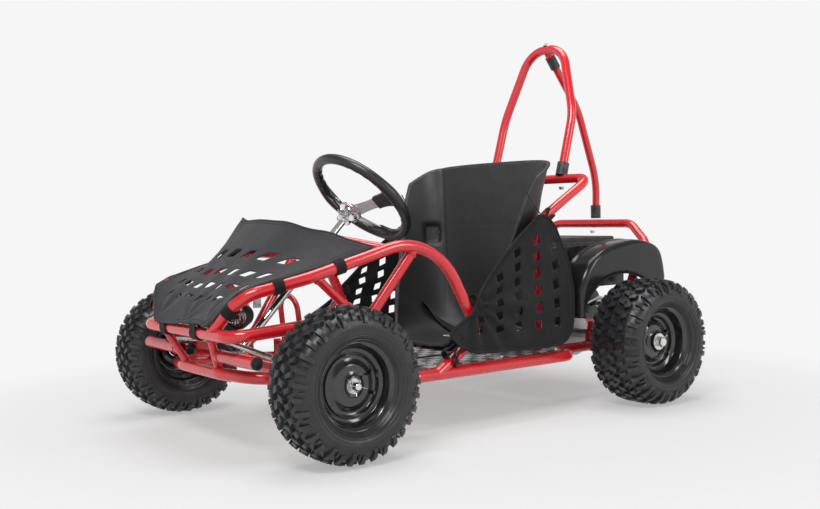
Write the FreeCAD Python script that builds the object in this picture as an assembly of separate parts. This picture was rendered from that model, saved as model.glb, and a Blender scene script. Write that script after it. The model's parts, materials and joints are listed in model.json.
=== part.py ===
import FreeCAD, Part

import math
import os

V = FreeCAD.Vector

# Rolling off-road kart, millimetres. Front is -Y, the driver's left is +X, +Z is up, the ground is z = 0.
# The model is drawn with y = 0 midway between the axles; SHIFT_Y then centres the overall length on the origin.

# Driving dimensions
WHEELBASE = 970.0
FRONT_TRACK = 797.0
REAR_TRACK = 772.0
TYRE_R = 165.0
FRONT_TYRE_W = 124.0
REAR_TYRE_W = 155.0
RIM_R = 93.0
TUBE_R = 14.0
THIN_TUBE_R = 12.5
WALL = 2.0
RAIL_X = 205.0
RAIL_Z = 138.0
SIDE_X = 300.0
KINGPIN_X = 290.0
AXLE_R = 12.5
SPINDLE_R = 8.0
RUN = 0.05
COLUMN_R = 9.0
WHEEL_RING_R = 137.0
GRIP_R = 12.0
SPOKE_ANGLES = (0, 180, 270)
SHEET = 3.0
FABRIC = 2.0
SHIFT_Y = -29.54

FRONT_Y = -WHEELBASE / 2
REAR_Y = WHEELBASE / 2
AXLE_Z = TYRE_R

# Steering column line: it rises backwards at 45 degrees in the plane x = 0
COLUMN_DIR = V(0, math.sqrt(0.5), math.sqrt(0.5))
COLUMN_FOOT = V(0, -525, 191)
HUB = V(0, -200, 516)
RING_CENTRE = HUB + COLUMN_DIR * 58
PITMAN_DIR = V(0, -math.sqrt(0.5), math.sqrt(0.5))
PITMAN_L = 55.0
PITMAN_HALF = 12.0

X_AXIS = V(1, 0, 0)
Y_AXIS = V(0, 1, 0)
Z_AXIS = V(0, 0, 1)

parts = {}


# Building blocks
def mirrored(shape):
    """The same shape on the other side of the plane x = 0."""
    return shape.mirror(V(0, 0, 0), X_AXIS)


def both_sides(shape):
    return [shape, mirrored(shape)]


def group(shapes):
    """Separate solids kept together in one node."""
    solids = []
    for shape in shapes:
        solids.extend(shape.Solids)
    return Part.makeCompound(solids)


def flip(points):
    return [(-x, y, z) for x, y, z in points]


def hoop(points):
    """A route over the centre plane: the given left half, then its mirror image backwards."""
    return points + flip(points)[::-1]


def route(points, bend):
    """A wire of straight runs joined by tangent arcs; bend is one radius, or one for each corner."""
    pts = [V(*p) for p in points]
    bends = bend if isinstance(bend, list) else [bend] * (len(pts) - 2)
    edges = []
    last = pts[0]
    for i in range(1, len(pts) - 1):
        back = (pts[i - 1] - pts[i]).normalize()
        ahead = (pts[i + 1] - pts[i]).normalize()
        turn = math.pi - back.getAngle(ahead)
        radius = bends[i - 1]
        reach = radius * math.tan(turn / 2)
        start = pts[i] + back * reach
        end = pts[i] + ahead * reach
        middle = (back + ahead).normalize()
        mid = pts[i] + middle * (radius / math.cos(turn / 2) - radius)
        if (start - last).Length > 0.01:
            edges.append(Part.LineSegment(last, start).toShape())
        edges.append(Part.Arc(start, mid, end).toShape())
        last = end
    edges.append(Part.LineSegment(last, pts[-1]).toShape())
    return Part.Wire(edges)


def rod(points, r, bend=60.0):
    """A solid bar along a route."""
    path = route(points, bend)
    first = V(*points[0])
    direction = (V(*points[1]) - first).normalize()
    ring = Part.Wire(Part.Circle(first, direction, r).toShape())
    return path.makePipeShell([ring], True, False)


def tube(points, r, bend=60.0, welded_to=()):
    """A tube along a route, its ends coped to the bars it is welded to."""
    shape = rod(points, r, bend).cut(rod(points, r - WALL, bend))
    for other in welded_to:
        shape = shape.cut(other)
    return shape


def largest(shape):
    return max(shape.Solids, key=lambda s: s.Volume)


def cylinder(centre, axis, r, length, bore=0.0):
    """A cylinder centred on a point, with an optional bore."""
    base = centre - axis * (length / 2)
    shape = Part.makeCylinder(r, length, base, axis)
    if bore > 0:
        shape = shape.cut(Part.makeCylinder(bore, length + 2, base - axis, axis))
    return shape


def slab(low, high):
    return Part.makeBox(high[0] - low[0], high[1] - low[1], high[2] - low[2], V(*low))


def plate_x(outline, x0, x1):
    """A flat plate with a (y, z) outline between two x planes."""
    pts = [V(x0, y, z) for y, z in outline]
    face = Part.Face(Part.makePolygon(pts + [pts[0]]))
    return face.extrude(V(x1 - x0, 0, 0))


def revolve_x(outline, x_mid):
    """A (x offset, radius) outline turned about a line parallel to X."""
    pts = [V(x_mid + x, 0, r) for x, r in outline]
    face = Part.Face(Part.makePolygon(pts + [pts[0]]))
    return face.revolve(V(0, 0, 0), X_AXIS, 360)


def sheet(points):
    """A smooth face through a grid of points."""
    surface = Part.BSplineSurface()
    surface.interpolate(points)
    return surface.toShape()


def lerp(a, b, t):
    return a + (b - a) * t


def linear(points, t):
    """The point at parameter t of a chain of points with equal steps."""
    place = min(max(t, 0.0), 1.0) * (len(points) - 1)
    i = min(int(place), len(points) - 2)
    return V(*points[i]) * (i + 1 - place) + V(*points[i + 1]) * (place - i)


def along(points, t):
    """The point at fraction t of the length of a chain of points."""
    pts = [V(*p) for p in points]
    steps = [(b - a).Length for a, b in zip(pts, pts[1:])]
    left = t * sum(steps)
    for a, b, step in zip(pts, pts[1:], steps):
        if left <= step:
            return a + (b - a) * (left / step)
        left -= step
    return pts[-1]


# Frame routes
MAIN_RAIL = [
    (RAIL_X, 620, RAIL_Z),
    (RAIL_X, -205, RAIL_Z),
    (RAIL_X, -585, 165),
    (95, -616, 168),
]
UPPER_BUMPER = [
    (250, -368, 306),
    (245, -480, 275),
    (221, -652, 261),
]
SIDE_RAIL = [
    (RAIL_X, -318, RAIL_Z),
    (SIDE_X, -240, RAIL_Z),
    (SIDE_X, 293, RAIL_Z),
    (RAIL_X, 293, RAIL_Z),
]
HOOD_RAIL = [
    (130, -652, 264),
    (215, -628, 346),
    (246, -480, 378),
    (262, -139, 468),
    (280, -15, 220),
    (300, -165, RAIL_Z),
]
HOOD_BENDS = [80.0, 220.0, 160.0, 45.0]
DIAGONAL = [(252, -215, 400), (212, -405, 146)]
SHORT_STRUT = [(248, -462, 384), (250, -378, 306)]
DASH_HOOP = [(253, -262, 434), (176, -352, 458), (104, -446, 484)]
SEAT_HOOP_Y = 422.0
SEAT_HOOP_Z = 600.0
SEAT_HOOP = [(245, 215, RAIL_Z), (245, 215, 400), (245, 243, 496), (245, SEAT_HOOP_Y, SEAT_HOOP_Z)]
HOOP_FOOT_X = 140.0
ROLL_HOOP = [(HOOP_FOOT_X, SEAT_HOOP_Y, SEAT_HOOP_Z + 14), (138, 472, 784), (66, 512, 981)]
ROLL_HOOP_BENDS = [200.0, 80.0, 80.0, 200.0]
BRACE_TOP = V(0, 516, 974)
REAR_BRACE = [(0, 516, 974), (0, 640, 812), (0, 716, 600), (0, 712, 486)]
BRACE_R = 11.0
BRACE_BEND = 260.0
REAR_HOOP = [(RAIL_X, 560, RAIL_Z), (232, 610, 330), (232, 672, 410), (150, 697, 470)]


def build_frame():
    main = hoop(MAIN_RAIL)
    main_bar = rod(main, TUBE_R, 70)
    parts["main_rails"] = tube(main, TUBE_R, 70)

    side_bar = rod(SIDE_RAIL, TUBE_R, 38)
    side = largest(tube(SIDE_RAIL, TUBE_R, 38, [main_bar]))
    parts["side_rails"] = group(both_sides(side))

    upper = hoop(UPPER_BUMPER)
    upper_bar = rod(upper, TUBE_R, 48)
    diagonal_bar = rod(DIAGONAL, THIN_TUBE_R)
    parts["upper_bumper"] = largest(tube(upper, TUBE_R, 48, both_sides(diagonal_bar)))

    rail_bar = rod(HOOD_RAIL, TUBE_R, HOOD_BENDS)
    rail = largest(tube(HOOD_RAIL, TUBE_R, HOOD_BENDS, [upper_bar, side_bar]))
    parts["hood_rails"] = group(both_sides(rail))

    diagonal = largest(tube(DIAGONAL, THIN_TUBE_R, welded_to=[rail_bar, main_bar]))
    short = largest(tube(SHORT_STRUT, 10, 20, [rail_bar, upper_bar]))
    parts["hood_struts"] = group(both_sides(diagonal) + both_sides(short))

    parts["dash_hoop"] = largest(tube(hoop(DASH_HOOP), 11, 35, both_sides(rail_bar)))

    link_points = [(120, -652, 261), (75, -611, 170)]
    link_bar = rod(link_points, 9, 20)
    link = largest(tube(link_points, 9, 20, [upper_bar, main_bar]))
    parts["bumper_links"] = group(both_sides(link))

    stub = cylinder(V(180, -622, 209), X_AXIS, TUBE_R, 176, TUBE_R - WALL).cut(link_bar)
    parts["crossbar_stubs"] = group(both_sides(largest(stub)))
    plug = cylinder(V(270, -622, 209), X_AXIS, TUBE_R, 4)
    plug = plug.fuse(cylinder(V(262, -622, 209), X_AXIS, TUBE_R - WALL, 12))
    parts["stub_plugs"] = group(both_sides(plug))

    crosses = []
    for y in (-180, 40, 270, 600):
        bar = tube([(RAIL_X, y, RAIL_Z), (-RAIL_X, y, RAIL_Z)], THIN_TUBE_R, 20, [main_bar])
        crosses.append(largest(bar))
    outrigger_bar = rod([(RAIL_X, 215, RAIL_Z), (SIDE_X, 215, RAIL_Z)], THIN_TUBE_R)
    outrigger = tube([(RAIL_X, 215, RAIL_Z), (SIDE_X, 215, RAIL_Z)], THIN_TUBE_R, 20, [main_bar, side_bar])
    crosses.extend(both_sides(largest(outrigger)))
    parts["floor_cross_tubes"] = group(crosses)

    seat_route = hoop(SEAT_HOOP)
    seat_bar = rod(seat_route, THIN_TUBE_R, 40)
    parts["seat_hoop"] = largest(tube(seat_route, THIN_TUBE_R, 40, both_sides(outrigger_bar)))
    parts["roll_hoop"] = largest(tube(hoop(ROLL_HOOP), THIN_TUBE_R, ROLL_HOOP_BENDS, [seat_bar]))

    rear_route = hoop(REAR_HOOP)
    rear_bar = rod(rear_route, THIN_TUBE_R, 55)
    parts["rear_hoop"] = largest(tube(rear_route, THIN_TUBE_R, 55, [main_bar]))
    build_brace(seat_bar, rear_bar)
    build_column_support(rail_bar)


def build_brace(seat_bar, rear_bar):
    """The rear brace, with the sleeves that hold it and the roll hoop."""
    hoop_bar = rod(hoop(ROLL_HOOP), THIN_TUBE_R, ROLL_HOOP_BENDS)
    brace_room = rod(REAR_BRACE, BRACE_R + RUN, BRACE_BEND)
    brace = tube(REAR_BRACE, BRACE_R, BRACE_BEND, [hoop_bar, rear_bar])
    parts["rear_brace"] = largest(brace)
    foot = V(*ROLL_HOOP[0])
    lean = (V(*ROLL_HOOP[1]) - foot).normalize()
    cup = cylinder(foot + lean * 14, lean, 16.5, 36, THIN_TUBE_R + RUN).cut(seat_bar)
    cup = cup.cut(rod(ROLL_HOOP, THIN_TUBE_R + RUN, ROLL_HOOP_BENDS[:1]))
    brace_cup = cylinder(V(0, 712, 506), Z_AXIS, 15, 40, BRACE_R + RUN).cut(rear_bar).cut(brace_room)
    down = (V(*REAR_BRACE[1]) - BRACE_TOP).normalize()
    clamp = cylinder(BRACE_TOP + down * 34, down, 14.5, 38, BRACE_R + RUN).cut(brace_room).cut(hoop_bar)
    parts["hoop_sleeves"] = group(both_sides(largest(cup)) + [largest(brace_cup), largest(clamp)])

    bolts = []
    for x in (HOOP_FOOT_X, -HOOP_FOOT_X):
        bolts.append(hex_bolt(V(x, SEAT_HOOP_Y, SEAT_HOOP_Z - THIN_TUBE_R - 9), V(0, 0, -1)))
    bolts.append(hex_bolt(V(0, 697, 470 - THIN_TUBE_R - 9), V(0, 0, -1)))
    bolts.append(hex_bolt(V(0, 512, 981 + THIN_TUBE_R), Z_AXIS))
    parts["hoop_bolts"] = group([b.cut(seat_bar).cut(rear_bar) for b in bolts])


def hex_bolt(head, axis, across=12.0, height=8.0):
    """A hexagon head with a washer; head is the centre of the washer's face."""
    turn = FreeCAD.Rotation(Z_AXIS, axis)
    corners = []
    for k in range(7):
        a = math.radians(60 * k)
        corners.append(head + turn.multVec(V(across * 0.577 * math.cos(a), across * 0.577 * math.sin(a), 0)))
    hexagon = Part.Face(Part.makePolygon(corners)).extrude(axis * height)
    washer = Part.makeCylinder(across * 0.85, 2, head, axis)
    return hexagon.fuse(washer)


def build_column_support(rail_bar):
    """Upper cross tube with a bearing sleeve for the steering column, and the lower bearing."""
    tube_y = -335
    at = V(0, tube_y + 17, tube_y + 17 + 716)
    cross = rod([(252, tube_y, 416), (-252, tube_y, 416)], 10)
    cross = cross.cut(rail_bar).cut(mirrored(rail_bar))
    sleeve = cylinder(at, COLUMN_DIR, 15, 40)
    bore = Part.makeCylinder(COLUMN_R + RUN, 700, COLUMN_FOOT - COLUMN_DIR * 50, COLUMN_DIR)
    parts["column_support"] = largest(cross.fuse(sleeve).cut(bore))


def build_front_axle(main_bar):
    """Cross beam with a yoke at each end that carries the kingpin."""
    inner = rod([(RAIL_X, FRONT_Y, AXLE_Z), (-RAIL_X, FRONT_Y, AXLE_Z)], TUBE_R).cut(main_bar)
    low_at = COLUMN_FOOT + COLUMN_DIR * 62
    low_sleeve = cylinder(low_at, COLUMN_DIR, 15, 24)
    web = rod([(0, FRONT_Y, AXLE_Z), (low_at.x, low_at.y - 8, low_at.z + 8 - 16)], 7)
    bore = Part.makeCylinder(COLUMN_R + RUN, 700, COLUMN_FOOT - COLUMN_DIR * 50, COLUMN_DIR)
    centre = largest(inner.fuse(web).fuse(low_sleeve).cut(bore))
    end = rod([(RAIL_X, FRONT_Y, AXLE_Z), (262, FRONT_Y, AXLE_Z)], TUBE_R).cut(main_bar)
    back = slab((256, FRONT_Y - 18, AXLE_Z - 36), (264, FRONT_Y + 18, AXLE_Z + 36))
    yoke = end.fuse(back)
    for z in (AXLE_Z - 36, AXLE_Z + 28):
        ear = slab((256, FRONT_Y - 18, z), (KINGPIN_X, FRONT_Y + 18, z + 8))
        tip = Part.makeCylinder(18, 8, V(KINGPIN_X, FRONT_Y, z), Z_AXIS)
        yoke = yoke.fuse(ear).fuse(tip)
    yoke = yoke.cut(Part.makeCylinder(6, 120, V(KINGPIN_X, FRONT_Y, AXLE_Z - 60), Z_AXIS))
    parts["front_axle"] = group([centre] + both_sides(largest(yoke)))
    pin = Part.makeCylinder(6, 78, V(KINGPIN_X, FRONT_Y, AXLE_Z - 39), Z_AXIS)
    pin = pin.fuse(hex_bolt(V(KINGPIN_X, FRONT_Y, AXLE_Z + 36), Z_AXIS, 17, 9))
    pin = pin.fuse(hex_bolt(V(KINGPIN_X, FRONT_Y, AXLE_Z - 36), V(0, 0, -1), 17, 8))
    parts["kingpins"] = group(both_sides(pin))


# Steering
ARM_BALL = V(262, FRONT_Y - 86, 213)
STUD_DIR = V(0.3, 0.035, 0.953).normalize()
STUD_R = 4.0


def build_knuckle():
    barrel = cylinder(V(KINGPIN_X, FRONT_Y, AXLE_Z), Z_AXIS, 13, 55)
    spindle = Part.makeCylinder(SPINDLE_R, 148, V(KINGPIN_X + 5, FRONT_Y, AXLE_Z), X_AXIS)
    shoulder = Part.makeCylinder(13, 46, V(KINGPIN_X, FRONT_Y, AXLE_Z), X_AXIS)
    stud_foot = ARM_BALL - STUD_DIR * 22
    arm = rod([(KINGPIN_X, FRONT_Y - 6, AXLE_Z + 14), (stud_foot.x + 4, stud_foot.y + 18, stud_foot.z - 2),
               (stud_foot.x, stud_foot.y, stud_foot.z)], 6, 20)
    stud = Part.makeCylinder(STUD_R, 32, stud_foot, STUD_DIR)
    stud = stud.fuse(Part.makeCylinder(7, 11, stud_foot - STUD_DIR * 3, STUD_DIR))
    nut = Part.makeCylinder(9, 10, V(KINGPIN_X + 142, FRONT_Y, AXLE_Z), X_AXIS)
    body = barrel.fuse(spindle).fuse(shoulder).fuse(arm).fuse(stud).fuse(nut)
    body = body.cut(Part.makeCylinder(6 + RUN, 120, V(KINGPIN_X, FRONT_Y, AXLE_Z - 60), Z_AXIS))
    parts["knuckle_left"] = largest(body)
    parts["knuckle_right"] = mirrored(parts["knuckle_left"])


def build_tie_rods():
    """Rods from the knuckle arms to the pitman plate; the inner eyes have clearance on their studs."""
    inner = COLUMN_FOOT + PITMAN_DIR * PITMAN_L + V(PITMAN_HALF, 0, 0)
    along = (inner - ARM_BALL).normalize()
    eye_out = cylinder(ARM_BALL, STUD_DIR, 10, 12, STUD_R + RUN)
    bar = Part.makeCylinder(6, (inner - ARM_BALL).Length - 28, ARM_BALL + along * 9, along)
    eye_in = cylinder(inner - along * 13, PITMAN_DIR.cross(X_AXIS), 8, 9)
    link = bar.fuse(eye_out).fuse(eye_in)
    link = link.cut(cylinder(ARM_BALL, STUD_DIR, STUD_R + RUN, 40))
    parts["tie_rod_left"] = largest(link)
    parts["tie_rod_right"] = mirrored(parts["tie_rod_left"])


def build_steering():
    length = (HUB - COLUMN_FOOT).Length
    column = Part.makeCylinder(COLUMN_R, length, COLUMN_FOOT, COLUMN_DIR)
    arm = Part.makeBox(20, 8, PITMAN_L + 6, V(-10, -4, 0))
    arm.Placement = FreeCAD.Placement(
        COLUMN_FOOT + COLUMN_DIR * 4,
        FreeCAD.Rotation(X_AXIS, COLUMN_DIR, PITMAN_DIR, "XZY"))
    parts["steering_column"] = largest(column.fuse(arm).fuse(cylinder(HUB - COLUMN_DIR * 4, COLUMN_DIR, 17, 22)))

    grip = Part.makeTorus(WHEEL_RING_R, GRIP_R, V(0, 0, 0), Z_AXIS)
    grip.Placement = FreeCAD.Placement(RING_CENTRE, FreeCAD.Rotation(Z_AXIS, COLUMN_DIR))
    plate = Part.makeCylinder(30, 4, HUB + COLUMN_DIR * 7, COLUMN_DIR)
    centre = HUB + COLUMN_DIR * 9
    for angle in SPOKE_ANGLES:
        a = math.radians(angle)
        out = X_AXIS * math.cos(a) + PITMAN_DIR * math.sin(a)
        across = COLUMN_DIR.cross(out)
        near = centre + out * 18
        far = RING_CENTRE + out * WHEEL_RING_R
        corners = [near + across * 15, near - across * 15, far - across * 15, far + across * 15]
        blade = Part.Face(Part.makePolygon(corners + [corners[0]])).extrude(COLUMN_DIR * 4)
        plate = plate.fuse(blade)
    parts["steering_spokes"] = largest(plate.cut(grip))
    parts["steering_grip"] = grip


# Wheels
def tyre(width):
    """A solid-walled ring with rounded shoulders, hollow for its air."""
    half = width / 2
    outer = [(-half * 0.66, RIM_R - 12), (-half * 0.86, RIM_R), (-half * 0.99, 118), (-half, 136),
             (-half * 0.92, 152), (-half * 0.70, 161), (-half * 0.36, TYRE_R)]
    inner = [(-half * 0.30, 155), (-half * 0.62, 151), (-half * 0.82, 136), (-half * 0.74, 104),
             (-half * 0.50, RIM_R - 12)]
    profile = outer + [(-x, r) for x, r in outer[::-1]] + [(-x, r) for x, r in inner[::-1]] + inner
    return revolve_x(profile, 0)


def rim(width, bore, dish, hub_out, hub_in):
    """A steel rim: barrel with flanges, a disc at x = dish, and a hub tube."""
    half = width / 2 * 0.64
    bead = RIM_R - 14.0
    barrel = [(-half - 4, RIM_R), (-half, RIM_R), (-half + 2, bead), (-half * 0.5, bead - 1), (-half * 0.4, bead - 9),
              (half * 0.4, bead - 9), (half * 0.5, bead - 1), (half - 2, bead), (half, RIM_R), (half + 4, RIM_R),
              (half + 1, bead - 3), (half * 0.5 + 1, bead - 4), (half * 0.4, bead - 12),
              (-half * 0.4, bead - 12), (-half * 0.5 - 1, bead - 4), (-half - 1, bead - 3)]
    barrel = revolve_x(barrel, 0)
    disc = [(dish, bore), (dish, bead - 11), (dish + 3, bead - 11), (dish + 9, 46), (dish + 9, bore)]
    disc = revolve_x(disc, 0)
    hub = revolve_x([(-hub_in, bore), (-hub_in, 21), (hub_out, 21), (hub_out, bore)], 0)
    return barrel.fuse(disc).fuse(hub).removeSplitter()


def placed(shape, x, y):
    copy = shape.copy()
    copy.translate(V(x, y, AXLE_Z))
    return copy


def build_wheels():
    front_tyre = tyre(FRONT_TYRE_W)
    front_rim = rim(FRONT_TYRE_W, SPINDLE_R + RUN, 12, 28, 44)
    front_tyre = largest(front_tyre.cut(front_rim))
    x = FRONT_TRACK / 2
    parts["front_left_tyre"] = placed(front_tyre, x, FRONT_Y)
    parts["front_left_rim"] = placed(front_rim, x, FRONT_Y)
    parts["front_right_tyre"] = mirrored(parts["front_left_tyre"])
    parts["front_right_rim"] = mirrored(parts["front_left_rim"])
    rear_rim = placed(rim(REAR_TYRE_W, AXLE_R, 12, 34, 44), REAR_TRACK / 2, REAR_Y)
    rear_tyre = largest(placed(tyre(REAR_TYRE_W), REAR_TRACK / 2, REAR_Y).cut(rear_rim))
    parts["rear_tyres"] = group(both_sides(rear_tyre))
    parts["rear_rims"] = group(both_sides(rear_rim))


# Rear axle and drive
SPROCKET_X = 118.0
AXLE_SPROCKET_R = 58.0
MOTOR_SPROCKET_R = 16.0
AXLE_TEETH = 44
MOTOR_TEETH = 11
DISC_X = -118.0
MOTOR_Y = 590.0
MOTOR_Z = 240.0
PLATE_T = 6.0


def gear_disc(teeth, r, thickness, bore):
    """A sprocket with pointed teeth, its axis along X."""
    depth = 2 * math.pi * r / teeth * 0.42
    pts = []
    for k in range(teeth * 4):
        a = 2 * math.pi * k / (teeth * 4)
        radius = r if k % 4 in (0, 1) else r - depth
        pts.append(V(-thickness / 2, radius * math.cos(a), radius * math.sin(a)))
    face = Part.Face(Part.makePolygon(pts + [pts[0]]))
    hole = Part.makeCylinder(bore, thickness + 2, V(-thickness / 2 - 1, 0, 0), X_AXIS)
    return face.extrude(V(thickness, 0, 0)).cut(hole)


def build_rear_axle():
    at = V(0, REAR_Y, AXLE_Z)
    parts["rear_axle"] = cylinder(at, X_AXIS, AXLE_R, 2 * 436)
    nuts = []
    for side in (1, -1):
        washer = Part.makeCylinder(20, 3, at + V(side * (REAR_TRACK / 2 + 34), 0, 0), V(side, 0, 0))
        nut = Part.makeCylinder(13, 12, at + V(side * (REAR_TRACK / 2 + 37), 0, 0), V(side, 0, 0))
        nuts.append(washer.fuse(nut).cut(parts["rear_axle"]))
    parts["rear_nuts"] = group(nuts)
    wheel = gear_disc(AXLE_TEETH, AXLE_SPROCKET_R, 4, AXLE_R)
    hub = cylinder(V(-10, 0, 0), X_AXIS, 22, 20, AXLE_R)
    wheel = wheel.fuse(hub)
    wheel.translate(V(SPROCKET_X, REAR_Y, AXLE_Z))
    parts["axle_sprocket"] = largest(wheel)
    disc = cylinder(V(DISC_X, REAR_Y, AXLE_Z), X_AXIS, 58, 4, AXLE_R)
    disc = disc.fuse(cylinder(V(DISC_X + 10, REAR_Y, AXLE_Z), X_AXIS, 22, 20, AXLE_R))
    parts["brake_disc"] = largest(disc)


def build_bearings(main_bar):
    plates = []
    housings = []
    outline = [(REAR_Y - 45, RAIL_Z), (REAR_Y - 45, 160), (REAR_Y - 30, 205), (REAR_Y + 30, 205),
               (REAR_Y + 45, 160), (REAR_Y + 45, RAIL_Z)]
    for side in (1, -1):
        x = side * RAIL_X
        plate = plate_x(outline, x - PLATE_T / 2, x + PLATE_T / 2).cut(main_bar)
        plate = plate.cut(cylinder(V(x, REAR_Y, AXLE_Z), X_AXIS, 20, 30))
        plates.append(largest(plate))
        bush = cylinder(V(x, REAR_Y, AXLE_Z), X_AXIS, 20, 26, AXLE_R + RUN)
        flange = cylinder(V(x - side * (PLATE_T / 2 + 3), REAR_Y, AXLE_Z), X_AXIS, 32, 6, AXLE_R + RUN)
        housings.append(largest(bush.fuse(flange).cut(main_bar)))
    parts["bearing_plates"] = group(plates)
    parts["axle_bearings"] = group(housings)


def build_drive():
    at = V(0, MOTOR_Y, MOTOR_Z)
    body = cylinder(at + V(20, 0, 0), X_AXIS, 48, 120)
    cap = cylinder(at + V(85, 0, 0), X_AXIS, 30, 12, 9)
    parts["motor"] = body.fuse(cap).cut(Part.makeCylinder(6 + RUN, 60, at + V(60, 0, 0), X_AXIS))
    shaft = Part.makeCylinder(6, 70, at + V(62, 0, 0), X_AXIS)
    wheel = gear_disc(MOTOR_TEETH, MOTOR_SPROCKET_R, 4, 5)
    wheel.translate(V(SPROCKET_X, MOTOR_Y, MOTOR_Z))
    parts["motor_sprocket"] = largest(wheel.fuse(shaft))
    saddle = slab((-35, MOTOR_Y - 40, RAIL_Z + THIN_TUBE_R - 2), (75, MOTOR_Y + 40, MOTOR_Z - 20))
    saddle = saddle.cut(slab((-27, MOTOR_Y - 41, RAIL_Z + THIN_TUBE_R + 6), (67, MOTOR_Y + 41, MOTOR_Z)))
    saddle = saddle.cut(cylinder(at + V(20, 0, 0), X_AXIS, 48, 200))
    cross = Part.makeCylinder(THIN_TUBE_R, 500, V(-250, 600, RAIL_Z), X_AXIS)
    parts["motor_mount"] = largest(saddle.cut(cross))
    build_chain()
    caliper = slab((DISC_X - 24, REAR_Y - 78, AXLE_Z + 2), (DISC_X + 16, REAR_Y - 34, AXLE_Z + 46))
    slot = slab((DISC_X - 3.5, REAR_Y - 72, AXLE_Z - 20), (DISC_X + 3.5, REAR_Y + 60, AXLE_Z + 60))
    parts["brake_caliper"] = caliper.cut(slot)


def build_chain():
    """A roller chain drawn as one closed band that clears both sprockets."""
    big = V(SPROCKET_X, REAR_Y, AXLE_Z)
    small = V(SPROCKET_X, MOTOR_Y, MOTOR_Z)
    inner = chain_loop(big, AXLE_SPROCKET_R + 0.5, small, MOTOR_SPROCKET_R + 0.5)
    outer = chain_loop(big, AXLE_SPROCKET_R + 6.5, small, MOTOR_SPROCKET_R + 6.5)
    band = outer.extrude(V(7, 0, 0)).cut(inner.extrude(V(7, 0, 0)))
    band.translate(V(-3.5, 0, 0))
    parts["drive_chain"] = largest(band)


def chain_loop(big, big_r, small, small_r):
    """The face inside a belt line round two circles in the plane x = constant."""
    gap = small - big
    heading = math.atan2(gap.z, gap.y)
    lean = math.acos((big_r - small_r) / gap.Length)

    def at(centre, r, angle):
        return centre + V(0, r * math.cos(angle), r * math.sin(angle))

    a, b = heading + lean, heading - lean
    edges = [
        Part.LineSegment(at(big, big_r, a), at(small, small_r, a)).toShape(),
        Part.Arc(at(small, small_r, a), at(small, small_r, heading), at(small, small_r, b)).toShape(),
        Part.LineSegment(at(small, small_r, b), at(big, big_r, b)).toShape(),
        Part.Arc(at(big, big_r, b), at(big, big_r, heading + math.pi), at(big, big_r, a)).toShape(),
    ]
    return Part.Face(Part.Wire(edges))


# Pedals
PEDAL_Y = -300.0
PEDAL_Z = 184.0
PEDAL_ROD = 7.0
PEDAL_X = 120.0
PEDAL_HALF = 42.0
PEDAL_TOP = 310.0


def pedal(x_mid):
    """An inverted U of round bar on two eyes."""
    half = PEDAL_HALF
    top = [(x_mid + half, PEDAL_Y, PEDAL_Z + 8), (x_mid + half, PEDAL_Y - 12, PEDAL_TOP),
           (x_mid - half, PEDAL_Y - 12, PEDAL_TOP), (x_mid - half, PEDAL_Y, PEDAL_Z + 8)]
    shape = rod(top, PEDAL_ROD, PEDAL_HALF - 3)
    for x in (x_mid + half, x_mid - half):
        shape = shape.fuse(cylinder(V(x, PEDAL_Y, PEDAL_Z), X_AXIS, 10, 14))
    return largest(shape.cut(cylinder(V(0, PEDAL_Y, PEDAL_Z), X_AXIS, 5 + RUN, 600)))


def build_pedals(main_bar):
    parts["throttle_pedal"] = pedal(-PEDAL_X)
    parts["brake_pedal"] = pedal(PEDAL_X)
    shaft = cylinder(V(0, PEDAL_Y, PEDAL_Z), X_AXIS, 5, 2 * RAIL_X - 10)
    for x in (RAIL_X - 8, -RAIL_X + 2):
        ear = slab((x, PEDAL_Y - 9, 140), (x + 6, PEDAL_Y + 9, PEDAL_Z + 9))
        shaft = shaft.fuse(ear)
    for x in (PEDAL_X - PEDAL_HALF - 10, PEDAL_X + PEDAL_HALF + 10):
        for side in (1, -1):
            shaft = shaft.fuse(cylinder(V(side * x, PEDAL_Y, PEDAL_Z), X_AXIS, 8, 5))
    parts["pedal_shaft"] = largest(shaft.cut(main_bar))
    cable = [(150, -262, 172), (150, -205, 172), (172, -165, 160), (172, 330, 160), (172, 372, 175),
             (-50, 372, 175), (DISC_X + 2, 372, 185), (DISC_X - 4, 398, 190)]
    parts["brake_cable"] = rod(cable, 2.5, 18)


# Body pieces
FLOOR_OUTLINE = [(190, -288), (284, -224), (284, 262), (264, 282), (190, 282)]


def build_floor(main_bar):
    """A checker plate that lies on the rails and cross tubes."""
    left = [V(x, y, 0) for x, y in FLOOR_OUTLINE]
    right = [V(-p.x, p.y, 0) for p in left[::-1]]
    face = Part.Face(Part.makePolygon(left + right + [left[0]]))
    plate = face.extrude(V(0, 0, 2))
    plate.translate(V(0, 0, RAIL_Z + TUBE_R))
    for shape in both_sides(Part.makeCylinder(THIN_TUBE_R, 60, V(245, 215, RAIL_Z), Z_AXIS)):
        plate = plate.cut(shape)
    for shape in both_sides(rod(HOOD_RAIL, TUBE_R, HOOD_BENDS)):
        plate = plate.cut(shape)
    parts["floor_plate"] = largest(plate.cut(main_bar).cut(parts["pedal_shaft"]))
    bolts = []
    for x in (230, 275):
        for y in (-150, 60, 250):
            bolts.extend(both_sides(hex_bolt(V(x, y, RAIL_Z + TUBE_R + 2), Z_AXIS, 9, 4)))
    parts["floor_bolts"] = group(bolts)


SEAT_SPINE = [(24, 166), (110, 166), (200, 170), (262, 196), (284, 270), (294, 400), (304, 530), (312, 648)]
SEAT_EDGE = [(30, 182), (44, 214), (66, 254), (92, 310), (120, 376), (146, 446), (170, 530), (214, 622)]
SEAT_HALF = [112, 158, 192, 214, 232, 246, 258, 272]
SEAT_WRAP = math.radians(82.8)
SEAT_ROWS = 17
SEAT_COLUMNS = 15


def smooth(points, count):
    """Evenly spaced points on a smooth curve through the given points."""
    curve = Part.BSplineCurve()
    curve.interpolate([V(0, y, z) for y, z in points])
    return curve.discretize(count)


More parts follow.
